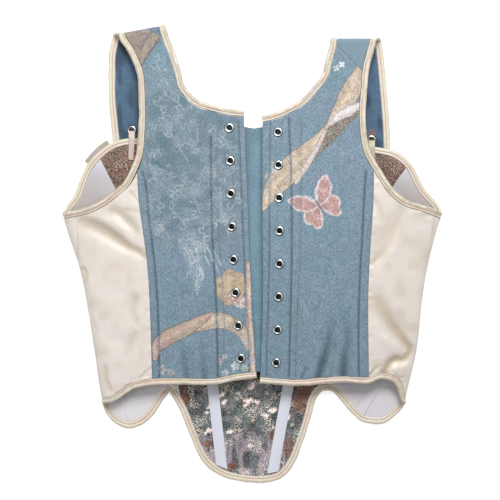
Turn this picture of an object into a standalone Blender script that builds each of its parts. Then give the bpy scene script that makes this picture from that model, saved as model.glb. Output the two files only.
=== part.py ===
"""Laced corset top lying flat on its front, with its back uppermost.

X runs across the garment, +Y from hem to shoulders, +Z up from the surface it lies on.
The origin is the middle of the bounding box's bottom. Tables and sizes are in millimetres
in the garment's own drawing frame; MM and ORIGIN turn them into metres.
"""
import math

import bmesh
import bpy
import numpy as np

MM = 0.001
ORIGIN = (-0.13, -1.25)   # middle of the outline in the drawing frame

# Cloth and seams
CLOTH = 1.8          # two cloth layers and interlining, quilted into one wall
FAR_CLOTH = 1.6
SEAM = 0.3           # clear gap between two pieces that are sewn together
BINDING = 7.0        # width of the folded bias binding
BINDING_THICK = 2.4
PROUD = 0.4          # how far a binding stands above the cloth beside it

# Lying form
FOLD_Z = 7.0         # height of the side folds
ROUND = 2.6          # power of the rounded cross-section
UNDER_TURN = 12.0    # how far in from the side fold the lower layer becomes flat
STRAP_LIFT = 3.3     # the front's top edge lies this much higher, on the strap ends

# Lacing hardware
EYELETS_PER_SIDE = 8
EYELET_HOLE = 2.5    # radii
EYELET_BARREL = 3.0
EYELET_FLANGE = 5.0
EYELET_HEIGHT = 1.1
EYELET_SIDES = 10

# Boning tapes, modesty panel and ribbon ties
TAPE_WIDTH = 11.5
TAPE_THICK = 1.2
MODESTY_HALF = 46.0
MODESTY_TOP = (138.0, 137.0, 133.4, 137.5, 138.0)   # y of its upper edge, left to right
RIBBON_WIDTH = 7.4
RIBBON_THICK = 1.0
TAIL_WIDTH = 4.8     # what shows of the left ribbon's slack
TAIL_TUCK = 1.6      # how far it lies under the binding
TAIL_ROWS = (50, 79)   # stretch of the front's top edge, in steps of a twelfth of a row

SIDES = ("left", "right")

# y, then x of the side fold on the left and on the right
FOLD = ((45, -202, 202), (25, -196.5, 195.5), (-16, -183, 185.5), (-48, -176.5, 180.5),
        (-101, -168, 174.5), (-136, -163, 166.5), (-158, -159, 161.5))

# y, then x of the seam between back and side back on the left and on the right
NEAR_SEAM = ((100, -122.3, 127.8), (82, -121.5, 128), (57, -120, 127.5), (-6, -111.5, 123.5),
             (-48, -108.5, 122), (-131, -106, 123), (-146, -105.5, 123.5))

# y, then x of the two centre-back edges that are laced together
CENTRE = ((158, -9.5, 10.5), (121, -8, 10.5), (57, -5.5, 10.5), (4, -3.5, 10.8), (-38, -1.5, 11),
          (-85, 1.8, 10), (-112, 3.3, 8.8), (-146, 4.6, 8))

# y, then the height of the upper layer along the middle
CROWN = ((-160, 19.5), (-100, 23), (0, 25), (90, 22), (150, 18), (190, 15), (232, 12.5))

# Armhole, x and y inside its binding: side fold, then up to the foot of the strap
ARMHOLE = {
    "left": ((-200, 37.5), (-178, 41.5), (-161.5, 48), (-151, 54.5), (-140.5, 63), (-130, 72.5),
             (-121, 88), (-116, 104), (-114, 122), (-113, 142), (-113.2, 163), (-114, 179.5)),
    "right": ((199.3, 37.5), (178, 45.5), (165, 49), (156, 53.5), (148, 60), (140.5, 68.5),
              (128, 88.5), (119, 104), (114.5, 122), (112.8, 142), (113.3, 163), (115, 179.5)),
}
ARMHOLE_SEAM = 6     # the row where the armhole crosses the back's seam

# Neckline inside its binding: centre back, then out to the foot of the strap
NECK = {
    "left": ((-9, 145.5), (-24, 146.5), (-45, 151.8), (-57, 155), (-66.5, 161), (-74, 170),
             (-79, 177.3)),
    "right": ((10.5, 139.2), (27, 143.3), (44, 151.5), (56, 158.5), (66, 169), (72, 177),
              (75.7, 180.5)),
}

# Back hem above its binding: side fold, near seam, centre back
BACK_HEM = {
    "left": ((-159.7, -152), (-149, -149.8), (-140, -143.5), (-130, -136.5), (-119, -133.3),
             (-106, -131), (-75, -130.6), (-40, -130.7), (-20, -126.5), (4, -123.7)),
    "right": ((162.2, -152), (160, -141), (156, -133), (149, -128), (140.5, -125.5), (133, -125.4),
              (123, -129.3), (95, -128.5), (66, -130.5), (50, -132), (29, -131), (8.3, -129)),
}
HEM_SEAM = {"left": 5, "right": 6}

# Strap edges inside their bindings, from the foot: outer x, y and inner x, y
STRAP_NEAR = {
    "left": ((-114, 179.5, -79, 177.3), (-115, 190, -81.5, 188), (-118.5, 202, -85, 200.5),
             (-123, 212, -89.5, 213), (-128.5, 221, -94, 222.5), (-134.5, 228.8, -98.5, 234)),
    "right": ((115, 179.5, 75.7, 180.5), (115.5, 190, 81, 190), (117.5, 202, 84, 202),
              (120, 212, 86.5, 212), (122.5, 219, 88.5, 219), (123.5, 224.5, 89.5, 224.5)),
}
STRAP_SEAM_ROW = {"left": ((1, 0.77), (4, 0.6)), "right": ((1, 0.4), (4, 0.7))}
STRAP_FAR = {
    "left": ((-141.5, 228, -105.5, 234.5), (-145.5, 212, -110, 221), (-146, 195, -112.5, 204),
             (-146, 168, -113.5, 175), (-143.5, 140, -112.5, 146), (-141.5, 121, -111.5, 123),
             (-140, 104, -111, 105)),
    "right": ((130.5, 224.5, 97.5, 224.5), (133, 206, 101, 206), (134.5, 190, 103.5, 190),
              (136.5, 168, 106, 168), (138.5, 142, 108, 142), (139.5, 121, 110, 121),
              (140.5, 101, 111, 101)),
}
LOOP_REACH = 5.0     # how far the strap's fold stands beyond its last near station

# Front's top edge inside its binding: left fold to right fold
FRONT_TOP = ((-200, 37.5), (-192, 48), (-183.5, 58.6), (-177, 76.6), (-170.5, 90), (-161.5, 101),
             (-153.7, 108), (-145, 112.6), (-132, 116), (-98, 113), (-55, 99), (0, 93), (55, 97.5),
             (98, 105.5), (126, 107), (145, 104.3), (155, 99.5), (163, 92), (171.7, 75.5),
             (178, 65), (186, 56), (193.5, 47), (199.3, 37.5))
# rows of FRONT_TOP that carry the ends of the side seams and of the front's seams
TOP_SPLITS = (0, 2, 5, 17, 20, 22)

# Front's hem inside its binding: left fold, hip tab, tongue, hip tab, right fold
FRONT_HEM = ((-159.7, -152), (-151, -164.5), (-142.5, -173.5), (-132, -177.8), (-121, -174.5),
             (-110.8, -165.5), (-103, -154), (-97, -145.5), (-87, -139.5), (-77, -151),
             (-69, -166), (-62, -184), (-53, -206), (-44, -219.5), (-29, -229.8), (2.7, -236),
             (27, -232), (38.5, -218), (46, -200), (54.5, -174), (61.5, -150), (71, -139.5),
             (85, -138.5), (97, -147.5), (108, -161), (119, -171), (130, -175), (140.5, -171.5),
             (153, -161.5), (162.2, -152))
HEM_SPLITS = (0, 3, 9, 21, 25, 29)

# Side seams and front seams on the lower layer, hem to top, between their split points
SIDE_SEAM = {"left": ((-143, -140), (-155, -75), (-171, 5)),
             "right": ((138, -135), (154, -75), (172, 5))}
FRONT_SEAM = {"left": ((-86.5, -107), (-98, -61), (-113, -11), (-130, 34), (-146, 70)),
              "right": ((79, -117), (91.5, -80), (105.5, -32), (120.5, 15), (148, 70))}

# Largest folds of the upper layer: x and y of both ends, half width, height
FOLDS = ((-176, 33, -116, 0, 9.0, -3.0), (-149, 54, -119, 20, 6.5, -2.2),
         (-181, -15, -168, -22, 6.0, -1.4), (-132, -40, -116, -62, 7.0, -1.0),
         (-150, -88, -122, -96, 8.0, -1.2), (142, -58, 165, -98, 11.0, -2.6),
         (140, -118, 166, -101, 7.0, -2.0), (152, 42, 131, -10, 8.0, -1.5),
         (72, -125, 82, -75, 6.0, 1.2), (98, -80, 100, -127, 6.5, 1.2),
         (-58, -92, -57, -130, 5.5, 1.0))

# First eyelet, bend of the row and last eyelet on each centre back edge, x and y
EYELET_ROWS = {"left": ((-24.4, 133.5), (-20.8, 8), (-12.3, -110)),
               "right": ((26.9, 129), (28.6, 0), (25.2, -114.5))}
STRAP_EYELETS = {"left": (-128.3, 132.0), "right": (126.8, 121.8)}

# Boning tapes on the inside of the front: x, y at the tongue and at the top
TAPES = {"left": (-32.8, -225.6, -62.5, 40.0), "right": (21.6, -231.4, 70.5, 40.0)}
TAPE_SLANT = {"left": -0.57, "right": 0.36}   # slope of the cut at each tape's lower end

# Ribbon ties, from the inside of the front over its edge to the strap's eyelet: x, y, height
TIES = {
    "left": ((-128.8, 100.5, 5.3), (-129.0, 107, 5.5), (-128.6, 114, 6.1), (-128.3, 121, 6.3),
             (-128.2, 126, 5.6), (-128.3, 131, 3.4)),
    "right": ((129.6, 90.5, 5.3), (128.2, 97, 5.5), (127.4, 104, 6.1), (127.1, 111.5, 6.3),
              (126.9, 116.5, 5.6), (126.8, 121, 3.4)),
}

# Rows and columns of cells: back panel, side back, front panels, strap
SEAM_ROWS, ARM_ROWS, STRAP_ROWS = 11, 5, 4
STRAP_COLS, NECK_COLS = 4, 6
NEAR_COLS, FAR_COLS, SIDE_ROWS = 8, 4, 20
FRONT_ROWS, FRONT_COLS, SIDE_FRONT_COLS = 14, 22, 9
OVER_STEPS, LOOP_STEPS, UNDER_STEPS = 3, 8, 8
MITRE_STEPS = 4      # stations over which a binding turns out of its mitred corner

COLOURS = {   # base colour, roughness, metallic
    "blue_jacquard": ((0.145, 0.27, 0.36), 0.75, 0.0),
    "plain_blue": ((0.10, 0.235, 0.34), 0.7, 0.0),
    "cream_satin": ((0.80, 0.72, 0.60), 0.38, 0.0),
    "cream_binding": ((0.78, 0.68, 0.53), 0.4, 0.0),
    "white_lining": ((0.82, 0.81, 0.84), 0.8, 0.0),
    "tapestry": ((0.28, 0.25, 0.24), 0.8, 0.0),
    "beige_jacquard": ((0.50, 0.42, 0.36), 0.75, 0.0),
    "nickel": ((0.62, 0.62, 0.60), 0.25, 1.0),
}


def smooth(points, steps=12):
    """Dense points on a smooth curve through the given ones."""
    p = np.asarray(points, float)
    p = np.vstack([2 * p[0] - p[1], p, 2 * p[-1] - p[-2]])
    dense = []
    for i in range(1, len(p) - 2):
        k = [0.0]
        for j in range(3):
            k.append(k[-1] + max(np.linalg.norm(p[i + j] - p[i + j - 1]), 1e-9) ** 0.5)
        for t in np.linspace(k[1], k[2], steps, endpoint=False):
            a = [((k[j + 1] - t) * p[i + j - 1] + (t - k[j]) * p[i + j]) / (k[j + 1] - k[j])
                 for j in range(3)]
            b = [((k[j + 2] - t) * a[j] + (t - k[j]) * a[j + 1]) / (k[j + 2] - k[j])
                 for j in range(2)]
            dense.append(((k[2] - t) * b[0] + (t - k[1]) * b[1]) / (k[2] - k[1]))
    dense.append(p[-2])
    return np.array(dense)


def along(dense, fractions):
    """Points at the given shares of a dense curve's length."""
    step = np.linalg.norm(np.diff(dense, axis=0), axis=1)
    run = np.concatenate([[0], np.cumsum(step)])
    return np.stack([np.interp(np.asarray(fractions) * run[-1], run, dense[:, k])
                     for k in range(dense.shape[1])], axis=1)


def rail(table, side, y):
    """x at height y on a table of y, left x, right x."""
    column = 1 + SIDES.index(side)
    dense = smooth([(row[0], row[column]) for row in table])
    order = np.argsort(dense[:, 0])
    return np.interp(y, dense[order, 0], dense[order, 1])


CROWN_CURVE = smooth(CROWN)
FOLD_LEFT = smooth([(row[0], row[1]) for row in FOLD])[::-1]
FOLD_RIGHT = smooth([(row[0], row[2]) for row in FOLD])[::-1]


def half_width(x, y):
    """Distance from the middle to the side fold on the side of x."""
    rail_points = FOLD_LEFT if x < 0 else FOLD_RIGHT
    return abs(np.interp(y, rail_points[:, 0], rail_points[:, 1]))


def folds(x, y):
    """Height that the largest folds add at a point."""
    total = 0.0
    for x0, y0, x1, y1, width, height in FOLDS:
        dx, dy = x1 - x0, y1 - y0
        length = math.hypot(dx, dy)
        t = ((x - x0) * dx + (y - y0) * dy) / length ** 2
        reach = max(0.0, -t, t - 1) * length
        off = abs((x - x0) * dy - (y - y0) * dx) / length
        swell = 0.35 + 0.65 * math.sin(math.pi * min(max(t, 0.0), 1.0))
        total += height * swell * math.exp(-(off ** 2 + reach ** 2) / width ** 2)
    return total


def near_z(x, y):
    """Top of the upper layer."""
    share = min(abs(x) / half_width(x, y), 1.0)
    crown = np.interp(y, CROWN_CURVE[:, 0], CROWN_CURVE[:, 1])
    lens = max(1 - share ** ROUND, 0.0) ** (1 / ROUND)
    return FOLD_Z + (crown - FOLD_Z) * lens + folds(x, y) * min(1.0, (1 - share) * 12)


def ease(t):
    t = min(max(t, 0.0), 1.0)
    return t * t * (3 - 2 * t)


def lift(x, y):
    """Height of the lower layer's underside over the strap ends."""
    total = 0.0
    for side in SIDES:
        end = STRAP_FAR[side][-1]
        middle = (end[0] + end[2]) / 2
        across = ease((60 - abs(x - middle)) / 28)
        up = ease((y - end[1] + 36) / 30)
        total += STRAP_LIFT * across * up
    return total


def far_z(x, y):
    """Underside of the lower layer."""
    inset = max(half_width(x, y) - abs(x), 0.0) if y < FOLD[0][0] else UNDER_TURN
    t = min(inset / UNDER_TURN, 1.0)
    turn = (1 - (1 - t) ** 2.2) ** (1 / 2.2)
    return FOLD_Z * (1 - turn) + lift(x, y)


def slope_normal(surface, x, y, up):
    """Unit normal of a height function, up or down."""
    h = 0.5
    n = np.array([-(surface(x + h, y) - surface(x - h, y)) / (2 * h),
                  -(surface(x, y + h) - surface(x, y - h)) / (2 * h), 1.0])
    n /= np.linalg.norm(n)
    return n if up else -n


def coons(bottom, top, first, last, shares=None):
    """Plan points between four edges, with the columns at the given shares of the width."""
    rows, cols = len(first), len(bottom)
    shares = np.linspace(0, 1, cols) if shares is None else shares
    grid = np.zeros((rows, cols, 2))
    for i in range(rows):
        v = i / (rows - 1)
        for j, u in enumerate(shares):
            grid[i, j] = ((1 - v) * bottom[j] + v * top[j] + (1 - u) * first[i] + u * last[i]
                          - (1 - u) * (1 - v) * bottom[0] - u * (1 - v) * bottom[-1]
                          - (1 - u) * v * top[0] - u * v * top[-1])
    return grid


def spread(points, rows, count):
    """Points over one stretch of a table, given by its first and last row."""
    dense = smooth(points)
    stretch = dense[rows[0] * 12:rows[1] * 12 + 1]
    return along(stretch, np.linspace(0, 1, count + 1))


def grid_normals(points):
    """Normals of a grid of 3-D points, from its own rows and columns."""
    p = np.asarray(points)
    du = np.gradient(p, axis=1)
    dv = np.gradient(p, axis=0)
    n = np.cross(du, dv)
    return n / np.linalg.norm(n, axis=2, keepdims=True)


def material(slot):
    if slot in bpy.data.materials:
        return bpy.data.materials[slot]
    colour, roughness, metallic = COLOURS[slot]
    mat = bpy.data.materials.new(slot)
    mat.use_nodes = True
    shader = mat.node_tree.nodes["Principled BSDF"]
    shader.inputs["Base Color"].default_value = (*colour, 1.0)
    shader.inputs["Roughness"].default_value = roughness
    shader.inputs["Metallic"].default_value = metallic
    return mat


def place(name, verts, faces, slot):
    """One closed body from points in millimetres."""
    mesh = bpy.data.meshes.new(name)
    shifted = [((v[0] - ORIGIN[0]) * MM, (v[1] - ORIGIN[1]) * MM, v[2] * MM) for v in verts]
    mesh.from_pydata(shifted, [], faces)
    tidy = bmesh.new()
    tidy.from_mesh(mesh)
    bmesh.ops.recalc_face_normals(tidy, faces=tidy.faces)
    tidy.to_mesh(mesh)
    tidy.free()
    mesh.materials.append(material(slot))
    obj = bpy.data.objects.new(name, mesh)
    bpy.context.scene.collection.objects.link(obj)
    mesh.shade_smooth()
    mesh.set_sharp_from_angle(angle=math.radians(40))
    return obj


def wall(name, cells, normals, thick, slot):
    """Cloth wall from a dictionary of outer points, each moved in along its normal."""
    keys = sorted(cells)
    index = {key: i for i, key in enumerate(keys)}
    count = len(keys)
    verts = [np.asarray(cells[k]) for k in keys]
    verts += [np.asarray(cells[k]) - np.asarray(normals[k]) * thick for k in keys]
    faces, edges = [], {}
    for i, j in keys:
        corners = [(i, j), (i, j + 1), (i + 1, j + 1), (i + 1, j)]
        if all(c in index for c in corners):
            loop = [index[c] for c in corners]
            faces.append(loop)
            faces.append([c + count for c in reversed(loop)])
            for a, b in zip(loop, loop[1:] + loop[:1]):
                edges[(a, b)] = True
    for a, b in list(edges):
        if (b, a) not in edges:
            faces.append([b, a, a + count, b + count])
    return place(name, verts, faces, slot)


def strip(name, path, normals, outward, profile, slot):
    """Solid swept along a path; profile gives (outward, height) pairs round its section."""
    n = len(profile)
    verts, faces = [], []
    for p, up, out in zip(path, normals, outward):
        for a, b in profile:
            v = p + out * a + up * b
            verts.append((v[0], v[1], max(v[2], 0.0)))
    for i in range(len(path) - 1):
        for k in range(n):
            a, b = i * n + k, i * n + (k + 1) % n
            faces.append([a, b, b + n, a + n])
    faces.append(list(range(n)))
    faces.append([len(verts) - 1 - k for k in range(n)])
    return place(name, verts, faces, slot)


def turn_gently(out, up, order):
    """Ease the outward direction from a mitred end into a binding's own direction."""
    start = out[order[0]].copy()
    for step, k in enumerate(order):
        share = step / MITRE_STEPS
        mixed = start * (1 - share) + out[k] * share
        mixed -= up[k] * np.dot(mixed, up[k])
        out[k] = mixed / np.linalg.norm(mixed)


def binding(name, rim, flip, first_tangent=None, last_tangent=None):
    """Bias binding outside a rim of points and outer normals; it stands proud on upper cloth."""
    points = np.array([p for p, n in rim])
    up = np.array([n / np.linalg.norm(n) for p, n in rim])
    tangent = np.gradient(points, axis=0)
    if first_tangent is not None:
        tangent[0] = first_tangent
    if last_tangent is not None:
        tangent[-1] = last_tangent
    out = np.cross(tangent, up) * (1 if flip else -1)
    out /= np.linalg.norm(out, axis=1, keepdims=True)
    if first_tangent is not None:
        turn_gently(out, up, range(MITRE_STEPS))
    if last_tangent is not None:
        turn_gently(out, up, range(len(out) - 1, len(out) - 1 - MITRE_STEPS, -1))
    points = points + up * PROUD * np.clip(up[:, 2:], 0, 1)
    low, near, far, curve = -BINDING_THICK, SEAM, SEAM + BINDING, 0.55
    profile = [(near, low + curve), (near, -curve / 2), (near + 1.6, 0), (far - 1.4, 0),
               (far, -1.6 * curve), (far, low + curve), (far - 1.4, low), (near + 1.2, low)]
    strip(name, points, up, out, profile, "cream_binding")


def ring(name, centre, axis):
    """Eyelet: a flange over a barrel, on a given point and axis."""
    axis = axis / np.linalg.norm(axis)
    side = np.cross(axis, (0.0, 1.0, 0.0))
    side /= np.linalg.norm(side)
    other = np.cross(axis, side)
    foot = 0.25 - CLOTH
    profile = [(EYELET_HOLE, foot), (EYELET_HOLE + 0.5, EYELET_HEIGHT), (EYELET_FLANGE, SEAM),
               (EYELET_BARREL, SEAM), (EYELET_BARREL, foot)]
    n = len(profile)
    verts, faces = [], []
    for i in range(EYELET_SIDES):
        angle = 2 * math.pi * i / EYELET_SIDES
        spoke = side * math.cos(angle) + other * math.sin(angle)
        verts += [centre + spoke * r + axis * h for r, h in profile]
    for i in range(EYELET_SIDES):
        for k in range(n):
            a, b = i * n + k, i * n + (k + 1) % n
            c = ((i + 1) % EYELET_SIDES) * n
            faces.append([a, b, c + (k + 1) % n, c + k])
    return place(name, verts, faces, "nickel")


def punch(obj, holes):
    """Cut the eyelet holes with one Boolean; holes are (centre, axis) pairs."""
    tool = bmesh.new()
    for centre, axis in holes:
        axis = axis / np.linalg.norm(axis)
        side = np.cross(axis, (0.0, 1.0, 0.0))
        side /= np.linalg.norm(side)
        other = np.cross(axis, side)
        radius = EYELET_BARREL + SEAM
        rings = []
        for height in (-CLOTH - 2.0, 2.0):
            rings.append([])
            for i in range(EYELET_SIDES):
                angle = 2 * math.pi * i / EYELET_SIDES
                p = (centre + (side * math.cos(angle) + other * math.sin(angle)) * radius
                     + axis * height)
                p = ((p[0] - ORIGIN[0]) * MM, (p[1] - ORIGIN[1]) * MM, p[2] * MM)
                rings[-1].append(tool.verts.new(p))
        for i in range(EYELET_SIDES):
            j = (i + 1) % EYELET_SIDES
            tool.faces.new((rings[0][i], rings[0][j], rings[1][j], rings[1][i]))
        tool.faces.new(rings[0][::-1])
        tool.faces.new(rings[1])
    bmesh.ops.recalc_face_normals(tool, faces=tool.faces)
    mesh = bpy.data.meshes.new(obj.name + "_holes")
    tool.to_mesh(mesh)
    tool.free()
    cutter = bpy.data.objects.new(obj.name + "_holes", mesh)
    bpy.context.scene.collection.objects.link(cutter)
    cutter.hide_render = True
    cutter.display_type = "WIRE"
    cut = obj.modifiers.new("eyelet_holes", "BOOLEAN")
    cut.operation = "DIFFERENCE"
    cut.solver = "EXACT"
    cut.object = cutter


def eyelet_points(side):
    """Centres and axes of one side's lacing eyelets."""
    points = []
    for x, y in along(smooth(EYELET_ROWS[side]), np.linspace(0, 1, EYELETS_PER_SIDE)):
        points.append((np.array([x, y, near_z(x, y)]), slope_normal(near_z, x, y, True)))
    return points


def strap_edge(side, which, table):
    """One edge of a strap table as x, y points."""
    return [(row[0], row[1]) if which == "outer" else (row[2], row[3]) for row in table[side]]


def seam_split(side, which, gap):
    """Near strap edge up to the back's diagonal seam, and from there on."""
    dense = smooth(strap_edge(side, which, STRAP_NEAR))
    row, part = STRAP_SEAM_ROW[side][0 if which == "outer" else 1]
    cut = min(int((row + part) * 12), len(dense) - 4)
    below, above = dense[:cut + 1].copy(), dense[cut:].copy()
    below[-1] = along(below, [1 - gap / path_length(below)])[0]
    above[0] = along(above, [gap / path_length(above)])[0]
    return below, above


def path_length(points):
    return float(np.linalg.norm(np.diff(points, axis=0), axis=1).sum())


def build_back(side):
    """Back panel with its part of the strap; returns the rims that take bindings."""
    hem = BACK_HEM[side]
    seam_end, centre_end = HEM_SEAM[side], len(hem) - 1
    sign = 1 if side == "left" else -1
    hem_near = spread(hem, (seam_end, centre_end), STRAP_COLS + NECK_COLS)
    y0, y1 = hem_near[0][1], ARMHOLE[side][ARMHOLE_SEAM][1]
    seam_y = np.linspace(y0, y1, SEAM_ROWS + 1)
    seam = np.stack([rail(NEAR_SEAM, side, seam_y), seam_y], axis=1)
    arm = spread(ARMHOLE[side], (ARMHOLE_SEAM, len(ARMHOLE[side]) - 1), ARM_ROWS)
    first = np.vstack([seam, arm[1:]])
    first[:SEAM_ROWS + 1, 0] += sign * SEAM / 2
    hem_near[0] = first[0]
    neck = spread(NECK[side], (0, len(NECK[side]) - 1), NECK_COLS)[::-1]
    foot = np.linspace(first[-1], neck[0], STRAP_COLS + 1)
    top = np.vstack([foot, neck[1:]])
    centre_y = np.linspace(hem_near[-1][1], neck[-1][1], len(first))
    last = np.stack([rail(CENTRE, side, centre_y), centre_y], axis=1)
    hem_near[-1], top[-1] = last[0], last[-1]
    grid = coons(hem_near, top, first, last)
    cells = {(i, j): grid[i, j] for i in range(grid.shape[0]) for j in range(grid.shape[1])}
    outer = seam_split(side, "outer", SEAM * 0.6)[0]
    inner = seam_split(side, "inner", SEAM * 0.6)[0]
    shares = np.linspace(0, 1, STRAP_ROWS + 1)[1:]
    for k, (a, b) in enumerate(zip(along(outer, shares), along(inner, shares))):
        for j in range(STRAP_COLS + 1):
            cells[(len(first) + k, j)] = a + (b - a) * j / STRAP_COLS
    points = {k: np.array([p[0], p[1], near_z(*p)]) for k, p in cells.items()}
    normals = {k: slope_normal(near_z, p[0], p[1], True) for k, p in cells.items()}
    panel = wall(f"back_{side}", points, normals, CLOTH, "blue_jacquard")
    punch(panel, eyelet_points(side))
    height = len(first) + STRAP_ROWS
    width = STRAP_COLS + NECK_COLS
    rims = {
        "arm": [(i, 0) for i in range(SEAM_ROWS, height)],
        "neck": ([(len(first) - 1, j) for j in range(width, STRAP_COLS, -1)]
                 + [(i, STRAP_COLS) for i in range(len(first) - 1, height)]),
        "hem": [(0, j) for j in range(width + 1)],
    }
    return {name: [(points[k], normals[k]) for k in keys] for name, keys in rims.items()}


def build_side_back(side):
    """Satin panel from the back's seam, round the side fold, to the side seam below."""
    sign = 1 if side == "left" else -1
    hem, arm = BACK_HEM[side], ARMHOLE[side]
    sines = np.sin(np.linspace(0, math.pi / 2, NEAR_COLS + 1))
    bottom = along(smooth(hem)[:HEM_SEAM[side] * 12 + 1][::-1], sines)
    top = along(smooth(arm)[:ARMHOLE_SEAM * 12 + 1][::-1], sines)
    seam_y = np.linspace(bottom[0][1], top[0][1], SIDE_ROWS + 1)
    first = np.stack([rail(NEAR_SEAM, side, seam_y), seam_y], axis=1)
    first[:, 0] -= sign * SEAM / 2
    fold_y = np.linspace(bottom[-1][1], top[-1][1], SIDE_ROWS + 1)
    fold = np.stack([rail(FOLD, side, fold_y), fold_y], axis=1)
    bottom[0], top[0], bottom[-1], top[-1] = first[0], first[-1], fold[0], fold[-1]
    near = coons(bottom, top, first, fold, sines)
    cosines = 1 - np.cos(np.linspace(0, math.pi / 2, FAR_COLS + 1))
    far_bottom = along(front_stretch(FRONT_HEM, HEM_SPLITS, side, 0), cosines)
    far_top = along(front_stretch(FRONT_TOP, TOP_SPLITS, side, 0), cosines)
    last = side_seam(side, SIDE_ROWS, -SEAM / 2)
    far_bottom[0], far_top[0] = fold[0], fold[-1]
    far_bottom[-1], far_top[-1] = last[0], last[-1]
    far = coons(far_bottom, far_top, fold, last, cosines)
    rows = []
    for i in range(SIDE_ROWS + 1):
        row = [(*p, near_z(*p)) for p in near[i]]
        row[-1] = (*near[i][-1], FOLD_Z)
        row += [(*p, far_z(*p)) for p in far[i][1:]]
        rows.append(row)
    points = np.array(rows)
    normals = grid_normals(points) * (-sign)
    for i in range(SIDE_ROWS + 1):
        for j in range(3):
            normals[i, j] = slope_normal(near_z, points[i, j, 0], points[i, j, 1], True)
        normals[i, -1] = slope_normal(far_z, points[i, -1, 0], points[i, -1, 1], False)
    cells = {(i, j): points[i, j] for i in range(points.shape[0]) for j in range(points.shape[1])}
    wall(f"side_back_{side}", cells, {k: normals[k] for k in cells}, CLOTH, "cream_satin")

    def pick(i, js):
        return [(points[i, j], normals[i, j]) for j in js]

    near_js, far_js = range(NEAR_COLS + 1), range(NEAR_COLS, NEAR_COLS + FAR_COLS + 1)
    return {"hem": pick(0, near_js), "arm": pick(-1, near_js),
            "far_hem": pick(0, far_js), "far_top": pick(-1, far_js)}


def front_stretch(table, splits, side, part):
    """Dense stretch of a front edge, from the side fold inwards; part 0 side back, 1 side front."""
    dense = smooth(table)
    if side == "right":
        a, b = splits[-1 - part], splits[-2 - part]
        return dense[b * 12:a * 12 + 1][::-1]
    return dense[splits[part] * 12:splits[part + 1] * 12 + 1]


def lower_seam(table, side, part, rows, shift):
    """A seam on the lower layer, hem to top, moved inwards by a shift."""
    low = front_stretch(FRONT_HEM, HEM_SPLITS, side, part)[-1]
    high = front_stretch(FRONT_TOP, TOP_SPLITS, side, part)[-1]
    line = along(smooth([low, *table[side], high]), np.linspace(0, 1, rows + 1))
    line[:, 0] += shift * (1 if side == "left" else -1)
    return line


def side_seam(side, rows, shift):
    return lower_seam(SIDE_SEAM, side, 0, rows, shift)


def build_flat(name, bottom, top, first, last, slot):
    """A panel of the lower layer; returns its hem and top rims."""
    grid = coons(bottom, top, first, last)
    points = {(i, j): np.array([*grid[i, j], far_z(*grid[i, j])])
              for i in range(grid.shape[0]) for j in range(grid.shape[1])}
    normals = {k: slope_normal(far_z, p[0], p[1], False) for k, p in points.items()}
    wall(name, points, normals, FAR_CLOTH, slot)
    top_row, cols = grid.shape[0] - 1, grid.shape[1]
    return {"far_hem": [(points[0, j], normals[0, j]) for j in range(cols)],
            "far_top": [(points[top_row, j], normals[top_row, j]) for j in range(cols)]}


def build_side_front(side):
    """Lined panel between the side seam and the front's seam."""
    first = side_seam(side, FRONT_ROWS, SEAM / 2)
    last = lower_seam(FRONT_SEAM, side, 1, FRONT_ROWS, -SEAM / 2)
    shares = np.linspace(0, 1, SIDE_FRONT_COLS + 1)
    bottom = along(front_stretch(FRONT_HEM, HEM_SPLITS, side, 1), shares)
    top = along(front_stretch(FRONT_TOP, TOP_SPLITS, side, 1), shares)
    bottom[0], bottom[-1], top[0], top[-1] = first[0], last[0], first[-1], last[-1]
    return build_flat(f"side_front_{side}", bottom, top, first, last, "white_lining")


def build_front():
    """Middle front panel with its long tongue."""
    first = lower_seam(FRONT_SEAM, "left", 1, FRONT_ROWS, SEAM / 2)
    last = lower_seam(FRONT_SEAM, "right", 1, FRONT_ROWS, SEAM / 2)
    shares = np.linspace(0, 1, FRONT_COLS + 1)
    bottom = along(smooth(FRONT_HEM)[HEM_SPLITS[2] * 12:HEM_SPLITS[3] * 12 + 1], shares)
    top = along(smooth(FRONT_TOP)[TOP_SPLITS[2] * 12:TOP_SPLITS[3] * 12 + 1], shares)
    bottom[0], bottom[-1], top[0], top[-1] = first[0], last[0], first[-1], last[-1]
    return build_flat("front", bottom, top, first, last, "tapestry")


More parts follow.
